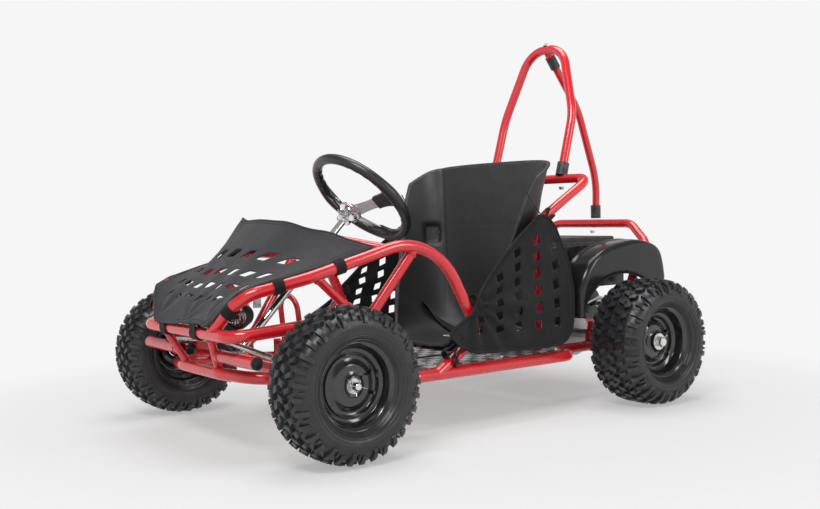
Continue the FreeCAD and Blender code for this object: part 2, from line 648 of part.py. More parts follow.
def seat_grid():
    """Rows of points across the bucket, from the front lip up to the top edge."""
    spine = smooth(SEAT_SPINE, SEAT_ROWS)
    edge = smooth(SEAT_EDGE, SEAT_ROWS)
    rows = []
    for i in range(SEAT_ROWS):
        u = i / (SEAT_ROWS - 1)
        half = linear([(h, 0, 0) for h in SEAT_HALF], u).x
        row = []
        for k in range(SEAT_COLUMNS):
            s = 2 * k / (SEAT_COLUMNS - 1) - 1
            rise = abs(s) ** 3
            point = spine[i] * (1 - rise) + edge[i] * rise
            row.append(V(half * math.sin(s * SEAT_WRAP) / math.sin(SEAT_WRAP), point.y, point.z))
        rows.append(row)
    return rows


def build_seat():
    """A moulded bucket, with the lap belt lying across its pan."""
    parts["seat"] = sheet(seat_grid()).makeOffsetShape(4, 0.01, fill=True)
    parts["belt_buckle"] = slab((60, 50, 184), (112, 84, 192))


HOOD_ROWS = 9
HOOD_COLUMNS = 13


HOOD_BACK = [(0, -452, 506), (112, -450, 504), (182, -372, 478), (254, -306, 447)]
HOOD_SIDE = [(172, -668, 286), (188, -665, 326), (203, -648, 364), (224, -602, 386), (240, -522, 397),
             (248, -446, 410), (252, -375, 429), (254, -306, 449)]


def hood_front(s):
    """The front hem, on top of the bumper."""
    x, y, z = HOOD_SIDE[0]
    return V(x * s, y, z)


def hood_back(s):
    """The rear hem, over the dash hoop."""
    x = abs(s) * HOOD_BACK[-1][0]
    i = 0
    while x > HOOD_BACK[i + 1][0]:
        i += 1
    t = (x - HOOD_BACK[i][0]) / (HOOD_BACK[i + 1][0] - HOOD_BACK[i][0])
    point = V(*HOOD_BACK[i]) * (1 - t) + V(*HOOD_BACK[i + 1]) * t
    return V(math.copysign(point.x, s), point.y, point.z)


def hood_grid():
    """The hood is flat across its middle and follows the hood rails near its side hems."""
    rows = []
    first, last = V(*HOOD_SIDE[0]), V(*HOOD_SIDE[-1])
    for j in range(HOOD_ROWS):
        t = j / (HOOD_ROWS - 1)
        side = along(HOOD_SIDE, t)
        sag = side - (first * (1 - t) + last * t)
        row = []
        for k in range(HOOD_COLUMNS):
            s = 2 * k / (HOOD_COLUMNS - 1) - 1
            point = hood_front(s) * (1 - t) + hood_back(s) * t
            row.append(point + V(sag.x * s, sag.y * s * s, sag.z * s * s))
        rows.append(row)
    return rows


NET_OUTLINE = [(-135, 229), (-115, 204), (-63, 180), (150, 172), (238, 174), (275, 205), (296, 306), (292, 379),
               (258, 484), (219, 508), (135, 454), (55, 390), (-31, 308), (-50, 276)]


def build_soft_goods():
    """The fabric hood and the two side nets, as plain sheets."""
    parts["hood_cover"] = sheet(hood_grid()).extrude(V(0, -1, 1).normalize() * FABRIC)
    pts = [V(lerp(320, 262.5, (z - 178) / 330), y, z) for y, z in NET_OUTLINE]
    net = Part.Face(Part.makePolygon(pts + [pts[0]])).extrude(V(FABRIC, 0, 0))
    parts["net_left"] = net
    parts["net_right"] = mirrored(net)


def build_fenders():
    """Moulded covers inboard of the rear tyres, open underneath and towards the axle."""
    outline = [(318, 186), (322, 300), (356, 372), (420, 412), (520, 432), (590, 430), (650, 402), (672, 330),
               (668, 300), (318, 186)]
    x_in, x_out = 222.0, 302.0
    pts = [V(x_in, y, z) for y, z in outline]
    outer = Part.Face(Part.makePolygon(pts)).extrude(V(x_out - x_in, 0, 0))
    centre = V(0, 495, 300)
    inner_pts = []
    for p in pts:
        flat = V(0, p.y, p.z)
        inner_pts.append(V(x_in, 0, 0) + centre + (flat - centre) * 0.975)
    inner = Part.Face(Part.makePolygon(inner_pts)).extrude(V(x_out - x_in - SHEET, 0, 0))
    shell = outer.cut(inner)
    wheel_hole = cylinder(V(290, REAR_Y, AXLE_Z), X_AXIS, 172, 100)
    shell = shell.cut(wheel_hole)
    for other in both_sides(rod(hoop(REAR_HOOP), THIN_TUBE_R + 2, 55)):
        shell = shell.cut(other)
    parts["rear_fenders"] = group(both_sides(largest(shell)))


def build_power_unit():
    low = slab((-170, 335, 200), (170, 402, 300))
    high = slab((-170, 335, 296), (170, 640, 424))
    high = high.makeFillet(14, [e for e in high.Edges if e.BoundBox.ZMin > 420])
    parts["battery_case"] = largest(low.fuse(high))
    lid = slab((-150, 352, 424), (150, 622, 436))
    parts["battery_lid"] = lid.makeFillet(5, [e for e in lid.Edges if e.BoundBox.ZMin > 430])


LAMP = V(142, -596, 298)
LAMP_TURN = 26.0


def build_lamp():
    """Round lamp under the left hood rail, turned a little outwards."""
    outwards = math.radians(LAMP_TURN)
    back = V(-math.sin(outwards), math.cos(outwards), 0)
    shell = Part.makeCone(29, 20, 36, LAMP, back)
    rim_ring = Part.makeCylinder(30, 8, LAMP - back * 4, back)
    bowl = Part.makeCylinder(26, 7, LAMP - back * 5, back)
    parts["headlamp_shell"] = shell.fuse(rim_ring).cut(bowl)
    parts["headlamp_lens"] = Part.makeCylinder(25.5, 3, LAMP - back * 2, back)
    bracket = slab((LAMP.x - 6, LAMP.y + 14, LAMP.z + 20), (LAMP.x + 50, LAMP.y + 32, LAMP.z + 52))
    hollow = slab((LAMP.x - 7, LAMP.y + 13, LAMP.z + 17), (LAMP.x + 47, LAMP.y + 33, LAMP.z + 49))
    bracket = bracket.cut(hollow)
    bracket = bracket.fuse(slab((LAMP.x - 6, LAMP.y + 14, LAMP.z + 20), (LAMP.x - 3, LAMP.y + 32, LAMP.z + 52)))
    bracket = bracket.cut(rod(HOOD_RAIL, TUBE_R, HOOD_BENDS)).cut(parts["headlamp_shell"])
    parts["headlamp_bracket"] = largest(bracket)


def main():
    build_frame()
    main_bar = rod(hoop(MAIN_RAIL), TUBE_R, 70)
    build_front_axle(main_bar)
    build_knuckle()
    build_tie_rods()
    build_steering()
    build_wheels()
    build_rear_axle()
    build_bearings(main_bar)
    build_drive()
    build_pedals(main_bar)
    build_floor(main_bar)
    build_seat()
    build_soft_goods()
    build_fenders()
    build_power_unit()
    build_lamp()
    os.makedirs("parts", exist_ok=True)
    for name, shape in parts.items():
        shape.translate(V(0, SHIFT_Y, 0))
        shape.exportStep(f"parts/{name}.step")
    low = [min(getattr(s.BoundBox, key) for s in parts.values()) for key in ("XMin", "YMin", "ZMin")]
    high = [max(getattr(s.BoundBox, key) for s in parts.values()) for key in ("XMax", "YMax", "ZMax")]
    print(len(parts), "nodes, box", [round(v, 2) for v in low], [round(v, 2) for v in high])
    for name, shape in parts.items():
        if not shape.isValid() or not shape.Solids:
            print("check", name, "valid", shape.isValid(), "solids", len(shape.Solids))


main()
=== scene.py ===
import json
import random
from math import atan2, copysign, cos, exp, hypot, pi, radians, sin, sqrt

import bpy
from mathutils import Matrix, Vector, noise
from mathutils.geometry import delaunay_2d_cdt


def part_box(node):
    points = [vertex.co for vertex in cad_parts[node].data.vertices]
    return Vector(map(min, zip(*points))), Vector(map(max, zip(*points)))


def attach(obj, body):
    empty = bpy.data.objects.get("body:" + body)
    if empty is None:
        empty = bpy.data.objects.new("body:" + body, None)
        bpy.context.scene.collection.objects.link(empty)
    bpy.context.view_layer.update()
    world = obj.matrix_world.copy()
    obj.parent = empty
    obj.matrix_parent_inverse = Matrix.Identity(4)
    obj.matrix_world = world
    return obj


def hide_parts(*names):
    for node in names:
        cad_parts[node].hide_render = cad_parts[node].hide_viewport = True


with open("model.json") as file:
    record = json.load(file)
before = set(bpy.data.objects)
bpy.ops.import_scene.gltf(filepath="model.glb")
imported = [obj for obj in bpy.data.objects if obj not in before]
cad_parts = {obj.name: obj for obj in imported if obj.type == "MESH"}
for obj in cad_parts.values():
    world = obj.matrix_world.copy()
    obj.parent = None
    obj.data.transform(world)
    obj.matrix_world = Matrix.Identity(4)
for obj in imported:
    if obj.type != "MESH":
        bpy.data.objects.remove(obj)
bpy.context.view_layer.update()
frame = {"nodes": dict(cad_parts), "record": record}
NODES = frame["nodes"]
random.seed(31)

# Driving values, metres. Front is -Y, the driver's left is +X, the ground is z = 0.
FRONT_WHEEL = sum(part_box("front_left_tyre"), Vector()) / 2
MID_Y = FRONT_WHEEL.y + 0.485
REAR_WHEEL = Vector((0.386, MID_Y + 0.485, FRONT_WHEEL.z))
TYRE_R = FRONT_WHEEL.z
FRONT_TYRE_W = 0.124
REAR_TYRE_W = 0.155
RIM_R = 0.093
TUBE_R = 0.014
X, Y, Z = Vector((1, 0, 0)), Vector((0, 1, 0)), Vector((0, 0, 1))
CORNERS = ((-1, -1), (1, -1), (1, 1), (-1, 1))
BEVEL_ANGLE = 38


def at(x, y, z):
    """A point given with y measured from midway between the axles."""
    return Vector((x, y + MID_Y, z))


# ---------------------------------------------------------------- shapes
class Shape:
    """Vertices and faces gathered for one piece."""

    def __init__(self):
        self.verts = []
        self.faces = []

    def add(self, verts, faces):
        base = len(self.verts)
        self.verts.extend(verts)
        self.faces.extend(tuple(base + i for i in face) for face in faces)

    def grid(self, rows, closed_u=False, closed_v=False):
        """Quads over rows of points; closed_u joins the last row to the first, closed_v the columns."""
        count, width = len(rows), len(rows[0])
        faces = []
        for i in range(count if closed_u else count - 1):
            for j in range(width if closed_v else width - 1):
                a, b = i * width + j, i * width + (j + 1) % width
                c, d = ((i + 1) % count) * width + (j + 1) % width, ((i + 1) % count) * width + j
                faces.append((a, b, c, d))
        self.add([p for row in rows for p in row], faces)

    def tube(self, points, radius, sides=12, closed=False):
        """A round bar along a chain of points, with closed ends."""
        frames = carried_frames(points, closed)
        rows = []
        for k, (p, (u, v)) in enumerate(zip(points, frames)):
            r = radius(k / (len(points) - 1)) if callable(radius) else radius
            rows.append([p + (u * cos(a) + v * sin(a)) * r
                         for a in (2 * pi * j / sides for j in range(sides))])
        if closed:
            self.grid(rows, closed_u=True, closed_v=True)
        else:
            self.bar(rows)

    def bar(self, rows):
        """Rings of points joined into a solid with flat ends."""
        base, n = len(self.verts), len(rows[0])
        last = base + (len(rows) - 1) * n
        self.grid(rows, closed_v=True)
        self.faces += [tuple(base + j for j in reversed(range(n))), tuple(last + j for j in range(n))]

    def turned(self, outline, centre, axis=X, segments=72):
        """An (offset, radius) outline turned about an axis through centre; open if it starts at radius 0."""
        side = axis.orthogonal().normalized()
        other = axis.cross(side)
        rows = []
        for k in range(segments):
            a = 2 * pi * k / segments
            out = side * cos(a) + other * sin(a)
            rows.append([centre + axis * x + out * r for x, r in outline])
        self.grid(rows, closed_u=True, closed_v=outline[0][1] > 0)

    def prism(self, corners, direction):
        """A flat outline pushed along a direction."""
        n = len(corners)
        faces = [tuple(reversed(range(n))), tuple(range(n, 2 * n))]
        faces += [(i, (i + 1) % n, n + (i + 1) % n, n + i) for i in range(n)]
        self.add(list(corners) + [c + direction for c in corners], faces)


def carried_frames(points, closed=False, normal=None):
    """A pair of side directions at each point, carried along without twist or kept off a fixed normal."""
    n = len(points)
    frames = []
    side = None
    for i in range(n):
        ahead = points[(i + 1) % n] if closed or i < n - 1 else points[i]
        behind = points[i - 1] if closed or i > 0 else points[i]
        tangent = (ahead - behind).normalized()
        if normal is not None:
            side = tangent.cross(normal).normalized()
        elif side is None:
            side = tangent.orthogonal().normalized()
        else:
            side = (side - tangent * side.dot(tangent)).normalized()
        frames.append((side, tangent.cross(side)))
    return frames


def curve_through(points, count, closed=False):
    """Evenly spaced points on a smooth curve through the given ones."""
    n = len(points)
    dense = []
    for i in range(n if closed else n - 1):
        p1, p2 = points[i], points[(i + 1) % n]
        p0 = points[i - 1] if closed or i > 0 else p1 * 2 - p2
        p3 = points[(i + 2) % n] if closed or i < n - 2 else p2 * 2 - p1
        for k in range(12):
            t = k / 12
            dense.append(p1 * (2 * t ** 3 - 3 * t ** 2 + 1) + (p2 - p0) * 0.5 * (t ** 3 - 2 * t ** 2 + t)
                         + p2 * (3 * t ** 2 - 2 * t ** 3) + (p3 - p1) * 0.5 * (t ** 3 - t ** 2))
    dense.append(points[0] if closed else points[-1])
    return evenly(dense, count)[:-1] if closed else evenly(dense, count)


def evenly(points, count):
    """The chain of points divided into count evenly spaced ones."""
    steps = [(b - a).length for a, b in zip(points, points[1:])]
    total = sum(steps)
    made, i, passed = [], 0, 0.0
    for k in range(count):
        target = total * k / (count - 1)
        while i < len(steps) - 1 and passed + steps[i] < target:
            passed += steps[i]
            i += 1
        share = (target - passed) / steps[i] if steps[i] else 0.0
        made.append(points[i].lerp(points[i + 1], min(max(share, 0.0), 1.0)))
    return made


def rounded(points, radius, steps=4, closed=False):
    """The chain of points with each corner replaced by a short curve."""
    n = len(points)
    made = [] if closed else [points[0]]
    for i in range(n) if closed else range(1, n - 1):
        p, a, b = points[i], points[i - 1], points[(i + 1) % n]
        reach = min(radius, (a - p).length / 2.01, (b - p).length / 2.01)
        start, end = p + (a - p).normalized() * reach, p + (b - p).normalized() * reach
        for k in range(steps + 1):
            t = k / steps
            made.append(start * (1 - t) ** 2 + p * 2 * t * (1 - t) + end * t * t)
    return made if closed else made + [points[-1]]


def along(points, t):
    """The point at fraction t of the length of a chain of points."""
    steps = [(b - a).length for a, b in zip(points, points[1:])]
    left = t * sum(steps)
    for a, b, step in zip(points, points[1:], steps):
        if left <= step:
            return a.lerp(b, left / step)
        left -= step
    return points[-1].copy()


def flat_points(pairs):
    return [Vector((a, b, 0)) for a, b in pairs]


def ring_sides(ring):
    """Each pair of neighbours round a closed ring."""
    return zip(ring, ring[1:] + ring[:1])


def circle(centre, axis, r, count):
    side = axis.orthogonal().normalized()
    other = axis.cross(side)
    turns = (2 * pi * k / count for k in range(count))
    return [centre + (side * cos(a) + other * sin(a)) * r for a in turns]


def link(obj):
    bpy.context.scene.collection.objects.link(obj)


def piece(name, shape, finish, body="chassis", bevel=0.0, smooth=40.0, replaces=()):
    """Makes the mesh object, gives it a named finish, and lets it ride on a CAD body."""
    mesh = bpy.data.meshes.new(name)
    mesh.from_pydata([tuple(v) for v in shape.verts], [], shape.faces)
    mesh.validate()
    mesh.update()
    obj = bpy.data.objects.new(name, mesh)
    link(obj)
    mesh.materials.append(FINISHES[finish])
    mesh.polygons.foreach_set("use_smooth", [True] * len(mesh.polygons))
    mesh.set_sharp_from_angle(angle=radians(smooth))
    if bevel:
        modifier = obj.modifiers.new("edges", "BEVEL")
        modifier.width = bevel
        modifier.segments = 2
        modifier.limit_method = "ANGLE"
        modifier.angle_limit = radians(BEVEL_ANGLE)
        modifier.harden_normals = True
    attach(obj, body)
    if replaces:
        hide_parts(*replaces)
    return obj


# ---------------------------------------------------------------- finishes
class Finish:
    """A principled material whose colour, gloss and relief are built up node by node."""

    def __init__(self, name, color, roughness, metallic=0.0, **sockets):
        self.material = bpy.data.materials.new(name)
        self.material.use_nodes = True
        self.tree = self.material.node_tree
        self.shader = self.tree.nodes["Principled BSDF"]
        self.color = (*color, 1.0)
        self.set(self.shader, **{"Base Color": self.color, "Roughness": roughness, "Metallic": metallic, **sockets})
        self.material.diffuse_color = self.color
        self.place = self.node("ShaderNodeTexCoord").outputs["Object"]
        self.base = None
        self.normal = None

    def node(self, kind, inputs=None, **attributes):
        made = self.tree.nodes.new(kind)
        for key, value in attributes.items():
            setattr(made, key, value)
        self.set(made, **(inputs or {}))
        return made

    def set(self, node, **values):
        for key, value in values.items():
            socket = node.inputs[int(key)] if key.isdigit() else node.inputs[key]
            if isinstance(value, bpy.types.NodeSocket):
                self.tree.links.new(value, socket)
            else:
                socket.default_value = value

    def noise(self, scale, detail=4.0, roughness=0.6, stretch=None):
        place = self.place
        if stretch:
            place = self.node("ShaderNodeMapping", {"Vector": place, "Scale": stretch}).outputs["Vector"]
        made = self.node("ShaderNodeTexNoise", {"Vector": place, "Scale": scale, "Detail": detail,
                                                "Roughness": roughness})
        return made.outputs["Fac"]

    def span(self, source, low, high, start=0.3, end=0.7):
        """Maps start..end of a source value to low..high."""
        made = self.node("ShaderNodeMapRange", {"Value": source, "From Min": start, "From Max": end,
                                                "To Min": low, "To Max": high})
        return made.outputs["Result"]

    def math(self, operation, a, b=0.0):
        return self.node("ShaderNodeMath", {"0": a, "1": b}, operation=operation).outputs[0]

    def tint(self, color, factor):
        """Lays another colour over the present one by a factor."""
        mix = self.node("ShaderNodeMix", data_type="RGBA")
        self.set(mix, Factor=factor)
        under = self.base if self.base is not None else self.color
        for socket, value in zip([s for s in mix.inputs if s.type == "RGBA"], (under, (*color, 1.0))):
            if isinstance(value, bpy.types.NodeSocket):
                self.tree.links.new(value, socket)
            else:
                socket.default_value = value
        self.base = [s for s in mix.outputs if s.type == "RGBA"][0]
        self.set(self.shader, **{"Base Color": self.base})
        return self

    def gloss(self, source, low, high, start=0.3, end=0.7):
        self.set(self.shader, Roughness=self.span(source, low, high, start, end))
        return self

    def relief(self, height, strength, distance=0.001):
        inputs = {"Height": height, "Strength": strength, "Distance": distance}
        if self.normal is not None:
            inputs["Normal"] = self.normal
        self.normal = self.node("ShaderNodeBump", inputs).outputs["Normal"]
        self.set(self.shader, Normal=self.normal)
        return self

    def edge_wear(self, color, low=0.53, high=0.6):
        """Lightens edges that stick out, broken up by noise."""
        pointiness = self.node("ShaderNodeNewGeometry").outputs["Pointiness"]
        broken = self.span(self.noise(60), 0, 1, 0.35, 0.6)
        worn = self.math("MULTIPLY", self.span(pointiness, 0.0, 1.0, low, high), broken)
        return self.tint(color, worn)


def red_powder_coat():
    f = Finish("frame_red", (0.62, 0.01, 0.018), 0.26, **{"Coat Weight": 0.7, "Coat Roughness": 0.07})
    f.tint((0.52, 0.008, 0.014), f.span(f.noise(9), 0, 0.5))
    f.gloss(f.noise(40), 0.22, 0.3)
    return f.relief(f.noise(240, 2), 0.02, 0.0006).material


def painted_black(name, color, low, high, coat=0.3):
    f = Finish(name, color, low, **{"Coat Weight": coat, "Coat Roughness": 0.12})
    f.tint(tuple(c * 1.8 + 0.004 for c in color), f.span(f.noise(14), 0, 0.4))
    f.gloss(f.noise(55), low, high)
    return f.relief(f.noise(500, 2), 0.05, 0.0005).material


def moulded_plastic(name, color, low, high, grain=0.25, scale=900):
    f = Finish(name, color, low, **{"Specular IOR Level": 0.45})
    f.tint(tuple(c * 1.5 + 0.005 for c in color), f.span(f.noise(7), 0, 0.45))
    f.gloss(f.noise(30), low, high)
    f.relief(f.node("ShaderNodeTexVoronoi", {"Vector": f.place, "Scale": scale}).outputs["Distance"], grain, 0.0006)
    return f.edge_wear(tuple(c * 2.6 + 0.02 for c in color)).material


def bright_metal(name, color, low, high, stretch=(1, 1, 1), brush=0.12):
    f = Finish(name, color, low, metallic=1.0)
    f.tint(tuple(c * 0.72 for c in color), f.span(f.noise(22), 0, 0.5))
    f.gloss(f.noise(90, stretch=stretch), low, high)
    return f.relief(f.noise(600, 2, stretch=stretch), brush, 0.0004).material


def weave(f, scale, strength):
    """Crossed threads in the cloth's own directions."""
    heights = []
    for direction in ("X", "Y", "Z"):
        wave = f.node("ShaderNodeTexWave", {"Vector": f.place, "Scale": scale, "Distortion": 0.4, "Detail": 1.0},
                      bands_direction=direction)
        heights.append(wave.outputs["Fac"])
    pairs = [f.math("MULTIPLY", heights[k], heights[k + 1]) for k in (0, 1)]
    crossed = f.math("MAXIMUM", *pairs)
    return f.relief(crossed, strength, 0.0008)


def woven_cloth(name, color, scale=330, sheen=0.25):
    f = Finish(name, color, 0.78, **{"Sheen Weight": sheen, "Sheen Roughness": 0.5, "Specular IOR Level": 0.25})
    f.tint(tuple(c * 1.5 + 0.004 for c in color), f.span(f.noise(5, 6), 0, 0.55))
    f.tint(tuple(c * 0.6 for c in color), f.span(f.noise(260, 3), 0, 0.5, 0.4, 0.7))
    f.gloss(f.noise(18), 0.68, 0.88)
    return weave(f, scale, 0.35).material


def tyre_rubber():
    f = Finish("tyre_rubber", (0.0085, 0.009, 0.01), 0.36, **{"Specular IOR Level": 0.6})
    f.tint((0.02, 0.021, 0.024), f.span(f.noise(11, 6), 0, 0.7, 0.42, 0.7))
    f.gloss(f.noise(45, 5), 0.26, 0.52)
    f.relief(f.noise(120, 5), 0.22, 0.0015)
    return f.edge_wear((0.05, 0.052, 0.058), 0.52, 0.62).material


def grip_rubber():
    f = Finish("grip_rubber", (0.014, 0.014, 0.015), 0.32, **{"Specular IOR Level": 0.5, "Coat Weight": 0.15})
    f.gloss(f.noise(35), 0.26, 0.42)
    return f.relief(f.noise(700, 2), 0.08, 0.0005).material


def checker_plate():
    """Bright raised squares between dark ones that carry a fine cross-hatch, all lightly scuffed."""
    f = Finish("checker_plate", (0.66, 0.66, 0.66), 0.34, metallic=0.55)
    tile = 0.026
    flat = f.node("ShaderNodeMapping", {"Vector": f.place, "Scale": (1, 1, 0)}).outputs["Vector"]
    squares = f.node("ShaderNodeTexChecker", {"Vector": flat, "Scale": 1 / tile}).outputs["Fac"]
    turned = f.node("ShaderNodeMapping", {"Vector": flat, "Rotation": (0, 0, radians(45))}).outputs["Vector"]
    hatch = f.node("ShaderNodeTexChecker", {"Vector": turned, "Scale": 7 / tile}).outputs["Fac"]
    dark = f.math("MULTIPLY", squares, f.span(hatch, 0.62, 0.95, 0, 1))
    f.tint((0.03, 0.03, 0.033), dark)
    f.tint((0.34, 0.34, 0.34), f.span(f.noise(26, 6), 0, 0.4, 0.5, 0.7))
    f.gloss(f.noise(60), 0.26, 0.48)
    f.relief(hatch, 0.35, 0.0005)
    return f.relief(squares, 0.5, 0.0008).material


def lamp_glass():
    f = Finish("lamp_lens", (0.95, 0.97, 1.0), 0.04, **{"Transmission Weight": 1.0, "IOR": 1.45})
    ribs = f.node("ShaderNodeTexWave", {"Vector": f.place, "Scale": 60.0}, bands_direction="X").outputs["Fac"]
    return f.relief(ribs, 0.4, 0.001).material


FINISHES = {
    "frame_red": red_powder_coat(),
    "black_steel": painted_black("black_steel", (0.018, 0.018, 0.02), 0.32, 0.48),
    "rim_black": painted_black("rim_black", (0.01, 0.01, 0.011), 0.1, 0.2, 0.8),
    "black_plastic": moulded_plastic("black_plastic", (0.014, 0.014, 0.015), 0.36, 0.5, 0.15),
    "gloss_black": moulded_plastic("gloss_black", (0.01, 0.01, 0.011), 0.14, 0.24, 0.04),
    "seat_plastic": moulded_plastic("seat_plastic", (0.016, 0.0165, 0.018), 0.4, 0.54, 0.25, 700),
    "zinc": bright_metal("zinc", (0.78, 0.78, 0.76), 0.2, 0.36),
    "chrome": bright_metal("chrome", (0.86, 0.87, 0.88), 0.05, 0.14, brush=0.03),
    "chain_steel": bright_metal("chain_steel", (0.42, 0.42, 0.43), 0.26, 0.44),
    "cast_alloy": bright_metal("cast_alloy", (0.5, 0.5, 0.51), 0.34, 0.5),
    "spoke_alloy": bright_metal("spoke_alloy", (0.66, 0.68, 0.71), 0.26, 0.38, (1, 14, 1), 0.1),
    "checker_plate": checker_plate(),
    "tyre_rubber": tyre_rubber(),
    "grip_rubber": grip_rubber(),
    "cable_black": painted_black("cable_black", (0.014, 0.014, 0.014), 0.34, 0.5, 0.1),
    "hood_fabric": woven_cloth("hood_fabric", (0.03, 0.03, 0.033), sheen=0.12),
    "net_fabric": woven_cloth("net_fabric", (0.009, 0.009, 0.01), sheen=0.05),
    "webbing": woven_cloth("webbing", (0.008, 0.008, 0.009), 500, 0.05),
    "lamp_lens": lamp_glass(),
}

# ---------------------------------------------------------------- wheels
TREAD_PITCHES = 33
CARCASS_DROP = 0.0085
BEAD_R = 0.088
LUG_DRAFT = 0.0016


def tyre_section(half):
    """The right half of the carcass section, from the crown to the bead, as (x, radius, 0) points."""
    top = TYRE_R - CARCASS_DROP
    outline = [(0, top), (0.34, top - 0.0005), (0.62, top - 0.003), (0.82, top - 0.009), (0.93, top - 0.018),
               (0.985, top - 0.029), (0.99, 0.118), (0.95, 0.108), (0.88, 0.101), (0.81, 0.0975), (0.77, 0.095),
               (0.72, 0.0925), (0.68, BEAD_R)]
    return curve_through([Vector((x * half, r, 0)) for x, r in outline], 46)


class TyreSurface:
    """Places points by arc length from the crown, angle round the axle, and height above the carcass."""

    def __init__(self, section):
        self.section = section
        self.reach = [0.0]
        for a, b in zip(section, section[1:]):
            self.reach.append(self.reach[-1] + (b - a).length)

    def point(self, arc, angle, height=0.0):
        side, s = (1 if arc >= 0 else -1), abs(arc)
        i = 0
        while i < len(self.reach) - 2 and self.reach[i + 1] < s:
            i += 1
        share = (s - self.reach[i]) / (self.reach[i + 1] - self.reach[i])
        a, b = self.section[i], self.section[i + 1]
        p, step = a.lerp(b, share), (b - a).normalized()
        x, r = p.x - step.y * height, p.y + step.x * height
        return Vector((side * x, r * cos(angle), r * sin(angle)))


def tread_block(shape, surface, arcs, middle, width, heights, lean=0.0, steps=3):
    """One rubber lug between two arcs, centred on an angle, with sloping sides; lean shifts the angle per arc."""
    start, end = arcs
    rows = []
    for k in range(steps + 1):
        t = k / steps
        arc = start + (end - start) * t
        cut = start + LUG_DRAFT + (end - start - 2 * LUG_DRAFT) * t
        centre = middle + lean * (t - 0.5)
        half = width / 2
        top_half = half - LUG_DRAFT / TYRE_R
        height = heights[0] + (heights[1] - heights[0]) * t
        rows.append([surface.point(arc, centre - half, -0.001), surface.point(cut, centre - top_half, height),
                     surface.point(cut, centre + top_half, height), surface.point(arc, centre + half, -0.001)])
    n = steps + 1
    flat = [p for row in rows for p in row]
    faces = []
    for k in range(steps):
        a = 4 * k
        faces += [(a + i, a + i + 1, a + i + 5, a + i + 4) for i in range(3)]
        faces.append((a + 3, a, a + 4, a + 7))
    faces += [(3, 2, 1, 0), (4 * n - 4, 4 * n - 3, 4 * n - 2, 4 * n - 1)]
    shape.add(flat, faces)


def tread(shape, surface, half):
    """Rows of knobs: staggered centre pairs, slanted middle knobs and shoulder lugs that run onto the sidewall."""
    pitch = 2 * pi / TREAD_PITCHES
    u = half / 0.062
    for k in range(TREAD_PITCHES):
        a = k * pitch
        for side in (1, -1):
            shift = a + (0.0 if side > 0 else 0.5 * pitch)
            wobble = random.uniform(-0.05, 0.05) * pitch

            def arcs(low, high):
                return (side * low * u, side * high * u) if side > 0 else (side * high * u, side * low * u)

            def lean(value):
                return value * side * pitch
            tread_block(shape, surface, arcs(0.0018, 0.0185), shift + wobble, 0.5 * pitch,
                        (0.0085, 0.0085), lean(0.22))
            tread_block(shape, surface, arcs(0.0225, 0.0375), shift + 0.42 * pitch, 0.46 * pitch,
                        (0.0086, 0.0086), lean(-0.2))
            long_lug = k % 2 == 0
            heights = (0.0088, 0.0032) if side > 0 else (0.0032, 0.0088)
            tread_block(shape, surface, arcs(0.0425, 0.0725 if long_lug else 0.064), shift + 0.02 * pitch,
                        0.44 * pitch, heights, lean(0.1), steps=5)
            if long_lug:
                tread_block(shape, surface, arcs(0.0545, 0.0665), shift + 0.52 * pitch, 0.26 * pitch,
                            (0.005, 0.005), lean(0.0), steps=3)


def moulding_hairs(shape, surface, half, count):
    """Thin rubber whiskers left by the mould vents."""
    u = half / 0.062
    for _ in range(count):
        arc = random.choice((-1, 1)) * random.uniform(0.004, 0.078) * u
        angle = random.uniform(0, 2 * pi)
        root = surface.point(arc, angle, 0.006 if abs(arc) < 0.06 * u else 0.002)
        out = (surface.point(arc, angle, 0.02) - surface.point(arc, angle, 0.0)).normalized()
        bend = Vector([random.uniform(-0.6, 0.6) for _ in range(3)])
        tip = root + (out + bend * 0.6).normalized() * random.uniform(0.003, 0.0065)
        flat_reach = hypot(tip.y, tip.z)
        if flat_reach > TYRE_R + 0.0015:
            tip = Vector((tip.x, tip.y * TYRE_R / flat_reach, tip.z * TYRE_R / flat_reach))
        middle = root.lerp(tip, 0.5) + out * 0.0012
        shape.tube([root, middle, tip], lambda t: 0.00045 * (1 - 0.75 * t), sides=3)


def tyre(width):
    """The carcass with its sidewall rings, the tread and the hairs, about the origin."""
    half = width / 2
    section = tyre_section(half)
    surface = TyreSurface(section)
    loop = [(-p.x, p.y) for p in reversed(section[1:])] + [(p.x, p.y) for p in section]
    shape = Shape()
    shape.turned(loop, Vector(), segments=132)
    tread(shape, surface, half)
    total = surface.reach[-1]
    for share, thick in ((0.8, 0.0011), (0.735, 0.0007), (0.9, 0.0014)):
        for side in (1, -1):
            ring = [surface.point(side * share * total, 2 * pi * k / 120, 0.0002) for k in range(120)]
            shape.tube(ring, thick, sides=6, closed=True)
    for k in range(TREAD_PITCHES * 3):
        angle = 2 * pi * (k + 0.25) / (TREAD_PITCHES * 3)
        for side in (1, -1):
            line = [surface.point(side * share * total, angle, 0.0002) for share in (0.615, 0.65, 0.685)]
            shape.tube(line, 0.0006, sides=4)
    moulding_hairs(shape, surface, half, 210)
    return shape


